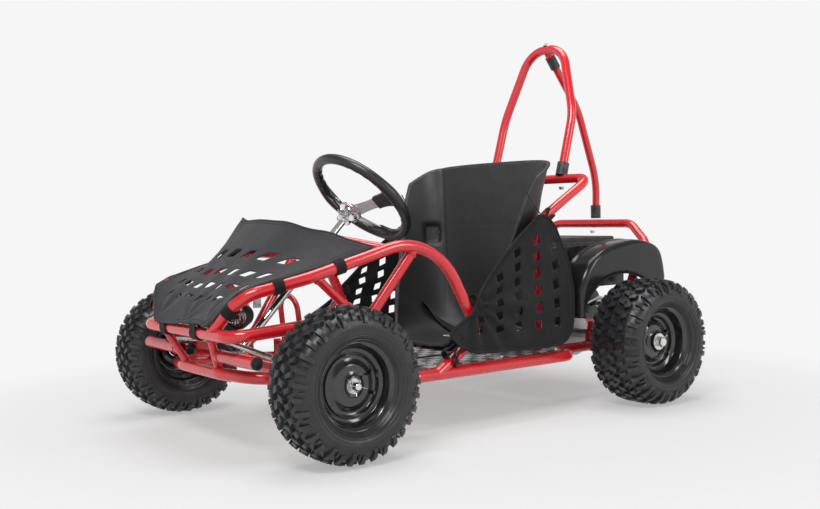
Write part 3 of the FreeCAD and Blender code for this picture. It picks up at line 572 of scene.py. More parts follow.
def rim_outline(width, dish):
    """The outboard face and back of the pressed steel rim and its centre disc, as (x, radius)."""
    half = width / 2 * 0.64
    bead = RIM_R - 0.014
    outer = [(half + 0.0035, RIM_R + 0.001), (half + 0.006, RIM_R - 0.0015), (half + 0.004, RIM_R - 0.004),
             (half - 0.001, bead + 0.004), (half * 0.52, bead - 0.001), (half * 0.42, bead - 0.01),
             (dish + 0.012, bead - 0.0125), (dish + 0.002, bead - 0.016), (dish + 0.0, bead - 0.022),
             (dish + 0.0035, 0.05), (dish + 0.009, 0.043), (dish + 0.0095, 0.03), (dish + 0.012, 0.0235),
             (dish + 0.014, 0.0215)]
    inner = [(x - 0.0024, r) for x, r in reversed(outer[7:])]
    back = [(-half * 0.42, bead - 0.0125), (-half * 0.52, bead - 0.0035), (-half + 0.001, bead + 0.001),
            (-half - 0.004, RIM_R - 0.004), (-half - 0.006, RIM_R - 0.0015), (-half - 0.0035, RIM_R + 0.001),
            (-half - 0.002, RIM_R - 0.001), (-half + 0.001, bead + 0.004), (-half * 0.5, bead + 0.002),
            (-half * 0.4, bead - 0.006), (half * 0.4, bead - 0.006), (half * 0.5, bead + 0.002),
            (half - 0.003, bead + 0.006), (half, RIM_R - 0.0015)]
    return outer + inner + back


def rim(width, dish, hub_out, hub_in, bore):
    """The rim about the origin, its outboard side towards +X."""
    shape = Shape()
    smooth_chain = rounded(flat_points(rim_outline(width, dish)), 0.0022, 3, closed=True)
    shape.turned([(p.x, p.y) for p in smooth_chain], Vector(), segments=96)
    hub = [(-hub_in, bore), (-hub_in, 0.0195), (-hub_in + 0.0015, 0.021), (dish, 0.0215), (hub_out - 0.001, 0.0205),
           (hub_out, 0.0195), (hub_out, 0.0165), (hub_out - 0.003, 0.0165), (hub_out - 0.003, bore)]
    shape.turned(hub, Vector(), segments=64)
    for k in range(3):
        a = 2 * pi * (k + 0.3) / 3
        spot = Vector((dish + 0.006, 0.062 * cos(a), 0.062 * sin(a)))
        shape.turned([(-0.0005, 0.0), (-0.0005, 0.0046), (0.0012, 0.004), (0.0018, 0.0)], spot, segments=16)
    return shape


def valve_stem():
    shape = Shape()
    foot = Vector((0.02, 0.0655, 0.0))
    lean = Vector((0.86, -0.5, 0.0)).normalized()
    outline = [(0.0, 0.0), (0.0, 0.0055), (0.006, 0.0042), (0.016, 0.0036), (0.0165, 0.003), (0.0175, 0.0034),
               (0.026, 0.0034), (0.027, 0.0)]
    shape.turned(outline, foot, lean, 20)
    return shape


def castle_nut(shape, centre, out, across, height):
    """A slotted hexagon nut standing on centre, pointing out."""
    side = out.orthogonal().normalized()
    other = out.cross(side)
    shape.prism(circle(centre, out, across * 0.577, 6), out * height * 0.62)
    for k in range(6):
        a = 2 * pi * (k + 0.5) / 6
        low, high = a - 0.36, a + 0.36
        inner, outer = across * 0.27, across * 0.44
        corners = [(inner, low), (outer, low), (outer, high), (inner, high)]
        shape.prism([centre + out * height * 0.62 + side * cos(q) * r + other * sin(q) * r
                     for r, q in corners], out * height * 0.38)


def cotter_pin(shape, centre, out, across_dir, reach, r=0.0013):
    """A split pin through the axle end with its legs spread."""
    head = [centre - across_dir * (reach * 0.35) + out * (0.003 * sin(pi * t / 6)) * 1.6
            - across_dir * 0.004 * (1 - cos(pi * t / 6)) for t in range(7)]
    shape.tube([head[0], centre, centre + across_dir * reach * 0.45, centre + across_dir * reach + out * 0.006], r, 8)
    shape.tube([head[0], centre + across_dir * reach * 0.42, centre + across_dir * reach * 0.8 - out * 0.006
                + across_dir.cross(out) * 0.006], r, 8)
    shape.tube(head, r, 8)


def turned_copy(shape, centre, flip, angle):
    """The shape about the origin, turned about X, mirrored to face -X if flip, and moved to centre."""
    made = Shape()
    matrix = Matrix.Rotation(angle, 4, "X")
    verts = [matrix @ v for v in shape.verts]
    if flip:
        verts = [Vector((-v.x, v.y, v.z)) for v in verts]
    faces = [tuple(reversed(f)) for f in shape.faces] if flip else shape.faces
    made.add([v + centre for v in verts], faces)
    return made


def build_wheels():
    front_tyre, rear_tyre = tyre(FRONT_TYRE_W), tyre(REAR_TYRE_W)
    front_rim = rim(FRONT_TYRE_W, 0.012, 0.028, 0.044, 0.0085)
    rear_rim = rim(REAR_TYRE_W, 0.012, 0.034, 0.044, 0.013)
    stem = valve_stem()
    places = []
    for side, name in ((1, "left"), (-1, "right")):
        centre = Vector((side * FRONT_WHEEL.x, FRONT_WHEEL.y, FRONT_WHEEL.z))
        places.append((f"front_{name}", centre, side < 0, f"front_{name}_wheel", front_tyre, front_rim,
                       (f"front_{name}_tyre",), (f"front_{name}_rim",)))
        rear = Vector((side * REAR_WHEEL.x, REAR_WHEEL.y, REAR_WHEEL.z))
        replaced = (("rear_tyres",), ("rear_rims",)) if side > 0 else ((), ())
        places.append((f"rear_{name}", rear, side < 0, "rear_axle", rear_tyre, rear_rim, *replaced))
    for i, (name, centre, flip, body, rubber, steel, for_tyre, for_rim) in enumerate(places):
        turn = 1.1 + 0.7 * i
        piece(f"{name}_knobbly_tyre", turned_copy(rubber, centre, flip, turn), "tyre_rubber", body,
              bevel=0.0007, smooth=34, replaces=for_tyre)
        piece(f"{name}_dished_rim", turned_copy(steel, centre, flip, turn), "rim_black", body,
              smooth=50, replaces=for_rim)
        piece(f"{name}_valve_stem", turned_copy(stem, centre, flip, 0.35 if i == 0 else turn), "cable_black", body)
    for side, name in ((1, "left"), (-1, "right")):
        front_end(side, name)
        rear_end(side, name)


def front_end(side, name):
    """Bearing seat on the hub, then washer, castle nut and split pin on the spindle."""
    centre = Vector((side * FRONT_WHEEL.x, FRONT_WHEEL.y, FRONT_WHEEL.z))
    out = X * side
    bearing = Shape()
    bearing.turned([(0.0245, 0.009), (0.0245, 0.0165), (0.0282, 0.0165), (0.0286, 0.0158), (0.0282, 0.015),
                    (0.0272, 0.0146), (0.0272, 0.0118), (0.0284, 0.0114), (0.0284, 0.009)], centre, out, 48)
    piece(f"front_{name}_wheel_bearing", bearing, "zinc", f"front_{name}_wheel", smooth=35)
    nut = Shape()
    nut.turned([(0.0287, 0.0083), (0.0287, 0.0125), (0.0305, 0.0125), (0.0305, 0.0083)], centre, out, 40)
    castle_nut(nut, centre + out * 0.0305, out, 0.017, 0.0125)
    nut.turned([(0.028, 0.0), (0.028, 0.0076), (0.0445, 0.0076), (0.0462, 0.0062), (0.0462, 0.0)], centre, out, 32)
    cotter_pin(nut, centre + out * 0.0405, out, Vector((0, 0.35 * side, 1)).normalized() * -1, 0.02)
    cotter_pin(nut, centre + out * 0.0405, out, Vector((0, 1, -0.25)).normalized(), 0.021, 0.0008)
    piece(f"front_{name}_castle_nut", nut, "zinc", f"knuckle_{name}", bevel=0.0004, smooth=35)


def rear_end(side, name):
    """Large washer, castle nut, and the threaded end of the live axle."""
    centre = Vector((side * REAR_WHEEL.x, REAR_WHEEL.y, REAR_WHEEL.z))
    out = X * side
    end = Shape()
    end.turned([(0.0342, 0.0126), (0.0342, 0.0215), (0.0348, 0.0222), (0.0368, 0.0222), (0.0374, 0.0215),
                (0.0374, 0.0126)], centre, out, 56)
    castle_nut(end, centre + out * 0.0374, out, 0.025, 0.0135)
    threads = [(0.034, 0.0)] + [(0.034 + 0.0015 * k, 0.0118 if k % 2 else 0.0112) for k in range(12)]
    threads += [(0.0515, 0.0105), (0.0525, 0.0095), (0.0525, 0.0)]
    end.turned(threads, centre, out, 40)
    cotter_pin(end, centre + out * 0.0475, out, Vector((0, 0.5, 0.8)).normalized(), 0.021)
    piece(f"rear_{name}_wheel_nut", end, "zinc", "rear_axle", bevel=0.0004, smooth=35,
          replaces=("rear_nuts",) if side > 0 else ())


# ---------------------------------------------------------------- cloth sheets
STRAP_GAP = 0.0012
STRAP_OPEN = 38


def inside(point, polygon):
    """Whether a 2-D point lies in a polygon."""
    x, y = point
    hit = False
    for (x1, y1), (x2, y2) in ring_sides(polygon):
        if (y1 > y) != (y2 > y) and x < (x2 - x1) * (y - y1) / (y2 - y1) + x1:
            hit = not hit
    return hit


def subdivided(polygon, step):
    made = []
    for (x1, y1), (x2, y2) in ring_sides(polygon):
        n = max(1, round(hypot(x2 - x1, y2 - y1) / step))
        made += [(x1 + (x2 - x1) * k / n, y1 + (y2 - y1) * k / n) for k in range(n)]
    return made


def cut_sheet(border, holes, step, place):
    """Triangles over a flat pattern with holes, set in space by place(u, v)."""
    border = subdivided(border, step)
    holes = [subdivided(hole, step) for hole in holes]
    coords, edges = [], []
    for ring in [border, *holes]:
        first = len(coords)
        coords += ring
        edges += [(first + i, first + (i + 1) % len(ring)) for i in range(len(ring))]
    us, vs = [p[0] for p in border], [p[1] for p in border]
    keep_off = step * 0.55
    rows = int((max(vs) - min(vs)) / step)
    columns = int((max(us) - min(us)) / step)
    rims = list(coords)
    for i in range(1, rows):
        for j in range(1, columns):
            p = (min(us) + (j + 0.5 * (i % 2)) * step, min(vs) + i * step)
            if inside(p, border) and not any(inside(p, hole) for hole in holes):
                if all(abs(p[0] - q[0]) + abs(p[1] - q[1]) > keep_off for q in rims):
                    coords.append(p)
    flat, _, faces, *_ = delaunay_2d_cdt([Vector(c) for c in coords], edges, [], 0, 1e-6, False)
    kept = []
    for face in faces:
        middle = tuple(sum(flat[i][k] for i in face) / len(face) for k in (0, 1))
        if inside(middle, border) and not any(inside(middle, hole) for hole in holes):
            kept.append(tuple(face))
    area = sum(abs((flat[b][0] - flat[a][0]) * (flat[c][1] - flat[a][1])
                   - (flat[c][0] - flat[a][0]) * (flat[b][1] - flat[a][1])) / 2 for a, b, c in kept)
    shape = Shape()
    shape.add([place(p[0], p[1]) for p in flat], kept)
    return shape, area


def surface_area(shape):
    return sum(((shape.verts[b] - shape.verts[a]).cross(shape.verts[c] - shape.verts[a])).length / 2
               for a, b, c in shape.faces)


def thicken(obj, thickness, offset=0.0):
    modifier = obj.modifiers.new("thickness", "SOLIDIFY")
    modifier.thickness = thickness
    modifier.offset = offset
    return obj


def stitches(shape, points, normals, length=0.0032, gap=0.002, r=0.00042):
    """A row of short threads along a chain of points, standing just proud of the cloth."""
    total = sum((b - a).length for a, b in zip(points, points[1:]))
    count = int(total / (length + gap))
    for k in range(count):
        a = along(points, (k + 0.1) * (length + gap) / total)
        b = along(points, ((k + 0.1) * (length + gap) + length) / total)
        n = normals(k / count)
        shape.tube([a + n * 0.0001, (a + b) / 2 + n * 0.0006, b + n * 0.0001], r, 5)


def strap_loop(shape, centre, direction, radius, width, tail, thickness=0.0016):
    """Webbing wrapped round a tube; tail is the point where both ends meet under the cloth's hem."""
    side = direction.normalized()
    pull = tail - centre
    up = (pull - side * pull.dot(side)).normalized()
    across = side.cross(up)
    open_half = radians(STRAP_OPEN)
    ring = []
    steps = 26
    for k in range(steps + 1):
        a = open_half + (2 * pi - 2 * open_half) * k / steps
        ring.append(centre + up * cos(a) * radius + across * sin(a) * radius)
    ring = [tail + across * STRAP_GAP] + ring + [tail - across * STRAP_GAP]
    frames = carried_frames(ring, normal=side)
    rows = []
    for p, (u, _) in zip(ring, frames):
        w = side * width / 2
        rows.append([p - w, p + w, p + w + u * thickness, p - w + u * thickness])
    shape.bar(rows)


# ---------------------------------------------------------------- hood
HOOD_BACK = [at(0, -0.454, 0.506), at(0.06, -0.45, 0.504), at(0.118, -0.436, 0.497), at(0.182, -0.374, 0.472),
             at(0.254, -0.306, 0.441)]
HOOD_SIDE = [at(0.132, -0.668, 0.28), at(0.15, -0.661, 0.296), at(0.1765, -0.65, 0.322), at(0.205, -0.63, 0.353),
             at(0.226, -0.586, 0.371), at(0.24, -0.52, 0.3845), at(0.2475, -0.446, 0.402), at(0.252, -0.375, 0.4215),
             at(0.254, -0.306, 0.441)]
HOOD_BACK_LINE = curve_through(HOOD_BACK, 40)
HOOD_PEAK = at(-0.112, -0.446, 0)
HOOD_WIDTH = 0.5
HOOD_LENGTH = 0.47
SLOT_ROWS = ((0.24, 0.054, 7), (0.36, 0.062, 7), (0.5, 0.07, 7), (0.68, 0.088, 7))
SLOT_REACH = 0.66
SLOT_LEAN = 0.018


def hood_point(s, t):
    """The hood cloth at s from the right hem (-1) to the left (1) and t from the front hem (0) to the back (1)."""
    s, t = max(-1.0, min(1.0, s)), max(0.0, min(1.0, t))
    side = along(HOOD_SIDE, t)
    low = Vector((HOOD_SIDE[0].x * s, HOOD_SIDE[0].y, HOOD_SIDE[0].z))
    high = along(HOOD_BACK_LINE, abs(s))
    high = Vector((copysign(high.x, s), high.y, high.z))
    corner = HOOD_SIDE[0].lerp(HOOD_SIDE[-1], t)
    stand = side - corner
    p = low.lerp(high, t) + Vector((stand.x * s, stand.y * s * s, stand.z * s * s))
    return p + Z * hood_folds(s, t, p)


def hood_folds(s, t, p):
    """Sag between the hems, and pulled folds that fan out from the strapped corners."""
    height = -0.004 * sin(pi * t) * (1 - s * s)
    for corner, count, size in ((1, 5, 0.0042), (-1, 5, 0.0042), (0.12, 7, 0.0034)):
        root = at(corner * 0.12, -0.664, 0.29)
        gap = Vector((p.x - root.x, p.y - root.y))
        distance = gap.length
        turn = atan2(gap.y, gap.x)
        fade = exp(-distance / 0.085) * (1 - exp(-distance / 0.018))
        height += size * fade * cos(count * turn + 2.2 * corner) * 1.6
    for corner in (1, -1):
        gap = Vector((p.x - corner * 0.15, p.y - at(0, -0.37, 0).y))
        height += 0.0028 * exp(-(gap.length / 0.09) ** 2) * sin(52 * gap.x * corner + 30 * gap.y)
    height += 0.011 * exp(-(Vector((p.x - HOOD_PEAK.x, p.y - HOOD_PEAK.y)).length / 0.028) ** 2)
    ripple = noise.noise(Vector((p.x * 9, p.y * 14, 3.0)))
    return height + 0.002 * ripple * min(1.0, 4 * t * (1 - t) + 0.3)


def slot_outline(s, t, width, depth):
    """A slanted slot with slightly rounded corners in the hood's (u, v) pattern."""
    corners = [((a * width + b * SLOT_LEAN) / 2, b * depth / 2) for a, b in CORNERS]
    ring = rounded(flat_points(corners), 0.0035, 3, closed=True)
    return [(s * HOOD_WIDTH / 2 + p.x, t * HOOD_LENGTH + p.y) for p in ring]


def hood_holes():
    holes = []
    for t, depth, count in SLOT_ROWS:
        for k in range(count):
            s = SLOT_REACH * (2 * k / (count - 1) - 1)
            holes.append(slot_outline(s, t, 0.023 if abs(s) > 0.2 else 0.027, depth * 0.4))
    return holes


def build_hood():
    w, length = HOOD_WIDTH / 2, HOOD_LENGTH
    border = [(-w, 0), (w, 0), (w, length), (-w, length)]

    def place(u, v):
        return hood_point(u / w, v / length)
    shape, _ = cut_sheet(border, hood_holes(), 0.0075, place)
    cloth = piece("hood_cloth", shape, "hood_fabric", smooth=60, replaces=("hood_cover",))
    thicken(cloth, 0.0016)
    hem = Shape()
    trim = Shape()
    inset = 0.014
    for (u1, v1), (u2, v2) in ring_sides(border):
        n = 60
        line = [place(u1 + (u2 - u1) * k / n, v1 + (v2 - v1) * k / n) for k in range(n + 1)]
        hem.tube(line, 0.0026, sides=8)
    inner = [(-w + inset, inset), (w - inset, inset), (w - inset, length - inset), (-w + inset, length - inset)]
    for (u1, v1), (u2, v2) in ring_sides(inner):
        n = 80
        line = [place(u1 + (u2 - u1) * k / n, v1 + (v2 - v1) * k / n) + Z * 0.0009 for k in range(n + 1)]
        stitches(trim, line, lambda _: Z)
    hem_piece = piece("hood_hem", hem, "hood_fabric")
    thread = piece("hood_stitching", trim, "webbing")
    straps = build_hood_straps()
    surface_area(shape)


RAIL_STRAPS = ((0.183, -0.6365, 0.315, 0.165), (0.2324, -0.545, 0.364, 0.45), (0.2498, -0.399, 0.3994, 0.786))
BUMPER_STRAPS = (-0.093, 0.064)


def build_hood_straps():
    """Webbing loops that hold the side hems to the rails and the front hem to the bumper."""
    straps = Shape()
    for side in (1, -1):
        for x, y, z, t in RAIL_STRAPS:
            centre = at(side * x, y, z)
            hem = hood_point(side * 0.985, t)
            ahead = (hood_point(side, t + 0.05) - hood_point(side, t - 0.05)).normalized()
            strap_loop(straps, centre, ahead, TUBE_R + 0.0018, 0.024, hem, 0.0018)
    for x in BUMPER_STRAPS:
        centre = at(x, -0.652, 0.261)
        strap_loop(straps, centre, X, TUBE_R + 0.0018, 0.026, hood_point(x / HOOD_SIDE[0].x, 0.01), 0.0018)
    return piece("hood_straps", straps, "webbing", smooth=50)


# ---------------------------------------------------------------- side nets
NET_OUTLINE = [(-0.135, 0.229), (-0.115, 0.204), (-0.063, 0.18), (0.15, 0.172), (0.238, 0.174), (0.275, 0.205),
               (0.296, 0.306), (0.292, 0.379), (0.258, 0.484), (0.219, 0.508), (0.135, 0.454), (0.055, 0.39),
               (-0.031, 0.308), (-0.05, 0.276)]
NET_TIES = [((0.2765, -0.036, 0.3), (0.1, 0.33, -1), 0.0158, 0.02, (-0.03, 0.29)),
            ((0.3, -0.128, 0.181), (0.06, -0.82, -0.6), 0.0158, 0.014, (-0.105, 0.217)),
            ((0.3, -0.1205, 0.166), (0.06, -0.82, -0.6), 0.0158, 0.014, (-0.105, 0.202)),
            ((0.245, 0.262, 0.503), (0, 0.82, 0.57), 0.0145, 0.02, (0.232, 0.49))]
NET_GATHER = (-0.04, 0.292)
NET_COLUMNS = (-0.04, 0.024, 0.088, 0.158, 0.224)


def net_point(y, z, side):
    """The net leans inwards as it rises, with folds that fan out from its gathered front corner."""
    x = 0.3205 + (0.2635 - 0.3205) * (z - 0.178) / 0.33
    dy, dz = y - NET_GATHER[0], z - NET_GATHER[1]
    distance = hypot(dy, dz)
    turn = atan2(dz, dy)
    fan = exp(-distance / 0.2) * (1 - exp(-distance / 0.02))
    x += 0.006 * fan * cos(11 * turn + 0.5) + 0.0026 * sin(34 * (z - 0.35 * y)) * fan
    x += 0.004 * noise.noise(Vector((y * 9, z * 9, 1.0 + side)))
    return at(side * x, y, z)


def net_holes(outline):
    holes = []
    for y_first in NET_COLUMNS:
        step = 0.026 + 0.085 * (y_first + 0.03)
        for k in range(7):
            y, z = y_first + 0.006 * k, 0.23 + step * k
            half_y, half_z = 0.0105, min(0.0115, step * 0.26)
            slope = 0.1 + 0.07 * k
            corners = [Vector((y + a * half_y, z + b * half_z + a * half_y * slope, 0))
                       for a, b in CORNERS]
            if all(inside((y + a * 0.03, z + b * 0.03), outline) for a, b in ((-1, 0), (1, 0), (0, -1), (0, 1))):
                holes.append([(p.x, p.y) for p in rounded(corners, 0.002, 2, closed=True)])
    return holes


def build_net(side, name):
    smooth_outline = rounded(flat_points(NET_OUTLINE), 0.022, 4, closed=True)
    border = [(p.x, p.y) for p in smooth_outline]

    def place(y, z):
        return net_point(y, z, side)
    shape, area = cut_sheet(border, net_holes(border), 0.008, place)
    cloth = piece(f"net_{name}_cloth", shape, "net_fabric", smooth=60,
                  replaces=(f"net_{name}",))
    thicken(cloth, 0.0016)
    hem, thread = Shape(), Shape()
    edge = [place(y, z) for y, z in subdivided(border, 0.008)]
    hem.tube(evenly(edge + edge[:1], 200)[:-1], 0.0034, sides=8, closed=True)
    middle = (sum(p[0] for p in border) / len(border), sum(p[1] for p in border) / len(border))
    inner = [(y + (middle[0] - y) * 0.1, z + (middle[1] - z) * 0.1) for y, z in subdivided(border, 0.008)]
    line = [place(y, z) + X * side * 0.0009 for y, z in inner]
    stitches(thread, line, lambda _: X * side)
    hem_piece = piece(f"net_{name}_hem", hem, "net_fabric")
    thread_piece = piece(f"net_{name}_stitching", thread, "webbing")
    ties = Shape()
    for place_at, ahead, r, width, tail in NET_TIES:
        strap_loop(ties, at(side * place_at[0], *place_at[1:]), Vector((side * ahead[0], *ahead[1:])), r, width,
                   net_point(*tail, side))
    ties_piece = piece(f"net_{name}_ties", ties, "webbing", smooth=50)
    tie = Shape()
    knot = net_point(0.222, 0.5, side)
    seat_eye = at(side * 0.262, 0.168, 0.568)
    slack = [seat_eye.lerp(knot, t) - Z * drop for t, drop in ((0.35, 0.004), (0.75, 0.003))]
    tie.tube(curve_through([seat_eye, *slack, knot], 14), 0.0016, 8)
    tie.tube(curve_through([knot + Vector((0, 0.006 * cos(a), 0.006 * sin(a))) for a in
                            (0, 1.57, 3.14, 4.71)], 16, closed=True), 0.0017, 6, closed=True)
    tie_piece = piece(f"net_{name}_tie_cord", tie, "cable_black")


# ---------------------------------------------------------------- seat
SEAT_SPINE = [(0.024, 0.166), (0.11, 0.166), (0.2, 0.17), (0.262, 0.196), (0.284, 0.27), (0.294, 0.4),
              (0.304, 0.53), (0.312, 0.648)]
SEAT_EDGE = [(0.03, 0.182), (0.044, 0.214), (0.066, 0.254), (0.092, 0.31), (0.12, 0.376), (0.146, 0.446),
             (0.17, 0.53), (0.214, 0.622)]
SEAT_HALF = [0.112, 0.158, 0.192, 0.214, 0.232, 0.246, 0.258, 0.272]
SEAT_BOLTS = ((-0.214, 0.453), (0.214, 0.453))
SEAT_BOLT_Y = 0.242
SEAT_BOLT_PROFILE = [(0.0, 0.0), (0.0, 0.0125), (0.0012, 0.0125), (0.0018, 0.0112), (0.0018, 0.0066),
                     (0.0052, 0.006), (0.0062, 0.0046), (0.0062, 0.0026), (0.004, 0.0024), (0.004, 0.0)]
SEAT_WALL = 0.0042
TOP_CORNER_DROP = 0.055


def seat_point(s, u, spine, edge):
    """A point of the bucket's inner face: s from the right rim to the left, u from the front lip to the top."""
    u *= 1 - TOP_CORNER_DROP * max(0.0, (abs(s) - 0.68) / 0.32) ** 2.4
    place = u * (len(SEAT_HALF) - 1)
    i = min(int(place), len(SEAT_HALF) - 2)
    half = SEAT_HALF[i] + (SEAT_HALF[i + 1] - SEAT_HALF[i]) * (place - i)
    k = u * (len(spine) - 1)
    j = min(int(k), len(spine) - 2)
    low, high = spine[j].lerp(spine[j + 1], k - j), edge[j].lerp(edge[j + 1], k - j)
    rise = abs(s) ** 3
    reach = 0.92 * pi / 2
    p = low.lerp(high, rise)
    return at(half * sin(s * reach) / sin(reach), p.x, p.y)


def seat_relief(p, s, u):
    """Depth pressed into the moulding: bolt pockets, the back's seam and soft creases beside the wings."""
    depth = 0.0
    for x, z in SEAT_BOLTS:
        across = hypot(p.x - x, p.y - MID_Y - SEAT_BOLT_Y) / 0.025
        up = abs(p.z - z) / 0.029
        depth += 0.013 / (1 + exp(18 * (max(across, up) * 0.75 + 0.25 * hypot(across, up) - 1)))
    if u > 0.45:
        depth += 0.0012 * exp(-((p.z - 0.478) / 0.0018) ** 2) * (abs(s) < 0.52)
    crease = 0.56 + 0.1 * max(0.0, u - 0.3)
    depth += 0.0035 * exp(-((abs(s) - crease) / 0.018) ** 2) * min(1.0, max(0.0, (u - 0.35) * 4))
    return depth


def build_seat():
    spine = curve_through(flat_points(SEAT_SPINE), 60)
    edge = curve_through(flat_points(SEAT_EDGE), 60)
    rows_count, columns = 120, 110
    base = [[seat_point(2 * j / (columns - 1) - 1, i / (rows_count - 1), spine, edge) for j in range(columns)]
            for i in range(rows_count)]
    rows = []
    for i, row in enumerate(base):
        made = []
        for j, p in enumerate(row):
            along_row = row[min(j + 1, columns - 1)] - row[max(j - 1, 0)]
            up_rows = base[min(i + 1, rows_count - 1)][j] - base[max(i - 1, 0)][j]
            outward = along_row.cross(up_rows).normalized()
            s, u = 2 * j / (columns - 1) - 1, i / (rows_count - 1)
            made.append(p - outward * seat_relief(p, s, u))
        rows.append(made)
    shell = Shape()
    shell.grid(rows)
    seat = piece("moulded_seat", shell, "seat_plastic", smooth=60, replaces=("seat",))
    thicken(seat, SEAT_WALL, 1.0)
    border = rows[0] + [row[-1] for row in rows[1:]] + rows[-1][-2::-1] + [row[0] for row in rows[-2:0:-1]]
    border = evenly(border + border[:1], 360)[:-1]
    bead = Shape()
    bead.tube(border, 0.0042, 10, closed=True)
    piece("seat_rolled_edge", bead, "seat_plastic")
    build_seat_bolts(rows, rows_count, columns)
    build_belt(spine, edge)


def build_seat_bolts(rows, rows_count, columns):
    bolts = Shape()
    flat = [(p, i, j) for i, row in enumerate(rows) for j, p in enumerate(row)]
    for x, z in SEAT_BOLTS:
        p, i, j = min(flat, key=lambda item: (item[0].x - x) ** 2 + (item[0].z - z) ** 2 + (item[0].y < MID_Y) * 9)
        i, j = min(max(i, 1), rows_count - 2), min(max(j, 1), columns - 2)
        out = (rows[i][j + 1] - rows[i][j - 1]).cross(rows[i + 1][j] - rows[i - 1][j]).normalized()
        if out.y > 0:
            out = -out
        bolts.turned(SEAT_BOLT_PROFILE, p, out, 28)
    piece("seat_bolts", bolts, "black_steel", smooth=35)


def build_belt(spine, edge):
    """Two lengths of lap belt webbing that lie in the pan and meet at a bright buckle."""
    belt = Shape()
    buckle_low, buckle_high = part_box("belt_buckle")
    meet = (buckle_low + buckle_high) / 2
    for side, ends in ((1, (0.8, 0.33)), (-1, (-0.8, 0.33))):
        line = []
        for k in range(25):
            t = k / 24
            s = ends[0] * (1 - t) + (meet.x / 0.16) * t
            u = ends[1] * (1 - t) + 0.175 * t
            p = seat_point(s, u, spine, edge)
            line.append(p + Z * (0.003 + 0.004 * sin(pi * t)))
        rows = []
        for k, p in enumerate(line):
            q, r = line[max(k - 1, 0)], line[min(k + 1, 24)]
            direction = (r - q).normalized()
            across = direction.cross(Z if abs(direction.z) < 0.8 else Y).normalized() * 0.0225
            up = across.cross(direction).normalized() * 0.0008
            rows.append([p - across + up, p + across + up, p + across - up, p - across - up])
        belt.bar(rows)
    piece("lap_belt_webbing", belt, "webbing", smooth=50)
    frame_shape = Shape()
    size = (buckle_high - buckle_low) / 2
    loop = rounded([meet + Vector((a * size.x, b * size.y, 0.003)) for a, b in CORNERS],
                   0.007, 5, closed=True)
    frame_shape.tube(loop, 0.0026, 10, closed=True)
    frame_shape.tube([meet + Vector((-0.004, -size.y, 0.004)), meet + Vector((-0.004, size.y, 0.004))], 0.0032, 12)
    piece("belt_buckle_frame", frame_shape, "chrome", replaces=("belt_buckle",))


# ---------------------------------------------------------------- steering wheel
COLUMN_DIR = Vector((0, sqrt(0.5), sqrt(0.5)))
RADIAL_UP = Vector((0, -sqrt(0.5), sqrt(0.5)))
HUB = at(0, -0.2, 0.516)
RING_CENTRE = HUB + COLUMN_DIR * 0.058
RING_R = 0.137
GRIP_R = 0.0125
SPOKE_ANGLES = (0, 180, 270)


def ring_dir(degrees):
    a = radians(degrees)
    return X * cos(a) + RADIAL_UP * sin(a)


def build_steering_wheel():
    grip = Shape()
    count, sides = 180, 20
    rows = []
    for k in range(count):
        angle = 360 * k / count
        out = ring_dir(angle)
        near_spoke = min(abs((angle - spoke + 180) % 360 - 180) for spoke in SPOKE_ANGLES)
        swell = 0.0022 * exp(-(near_spoke / 15) ** 2)
        finger = 0.0011 * cos(radians(angle) * 30) * (near_spoke < 62) * (near_spoke > 18)
        row = []
        for j in range(sides):
            a = 2 * pi * j / sides
            inner_side = max(0.0, -cos(a))
            r = GRIP_R + swell + finger * inner_side
            row.append(RING_CENTRE + out * (RING_R + r * cos(a)) + COLUMN_DIR * r * sin(a) * 1.05)
        rows.append(row)
    grip.grid(rows, closed_u=True, closed_v=True)
    for spoke in SPOKE_ANGLES:
        spoke_cover(grip, spoke)
    piece("steering_wheel_grip", grip, "grip_rubber", "steering", smooth=42,
          replaces=("steering_grip",))
    build_spokes()


def spoke_line(spoke, t):
    """A point on the spoke's top face: t from the hub edge (0) to the ring (1)."""
    out = ring_dir(spoke)
    start = HUB + COLUMN_DIR * 0.011 + out * 0.018
    return start.lerp(RING_CENTRE + out * (RING_R - 0.004), t)


def spoke_cover(grip, spoke):
    """The rubber block that wraps the outer end of a spoke and flows into the grip."""
    out = ring_dir(spoke)
    across = COLUMN_DIR.cross(out)
    rows = []
    for k in range(9):
        t = k / 8
        p = spoke_line(spoke, 0.6 + 0.4 * t)
        wide = 0.0185 + 0.01 * t ** 3
        thick = 0.0062 + 0.0035 * t ** 2
        block = [p + across * (a * wide) + COLUMN_DIR * (b * thick) for a, b in CORNERS]
        ring = rounded(block, 0.004, 4, closed=True)
        rows.append(ring)
    grip.bar(rows)


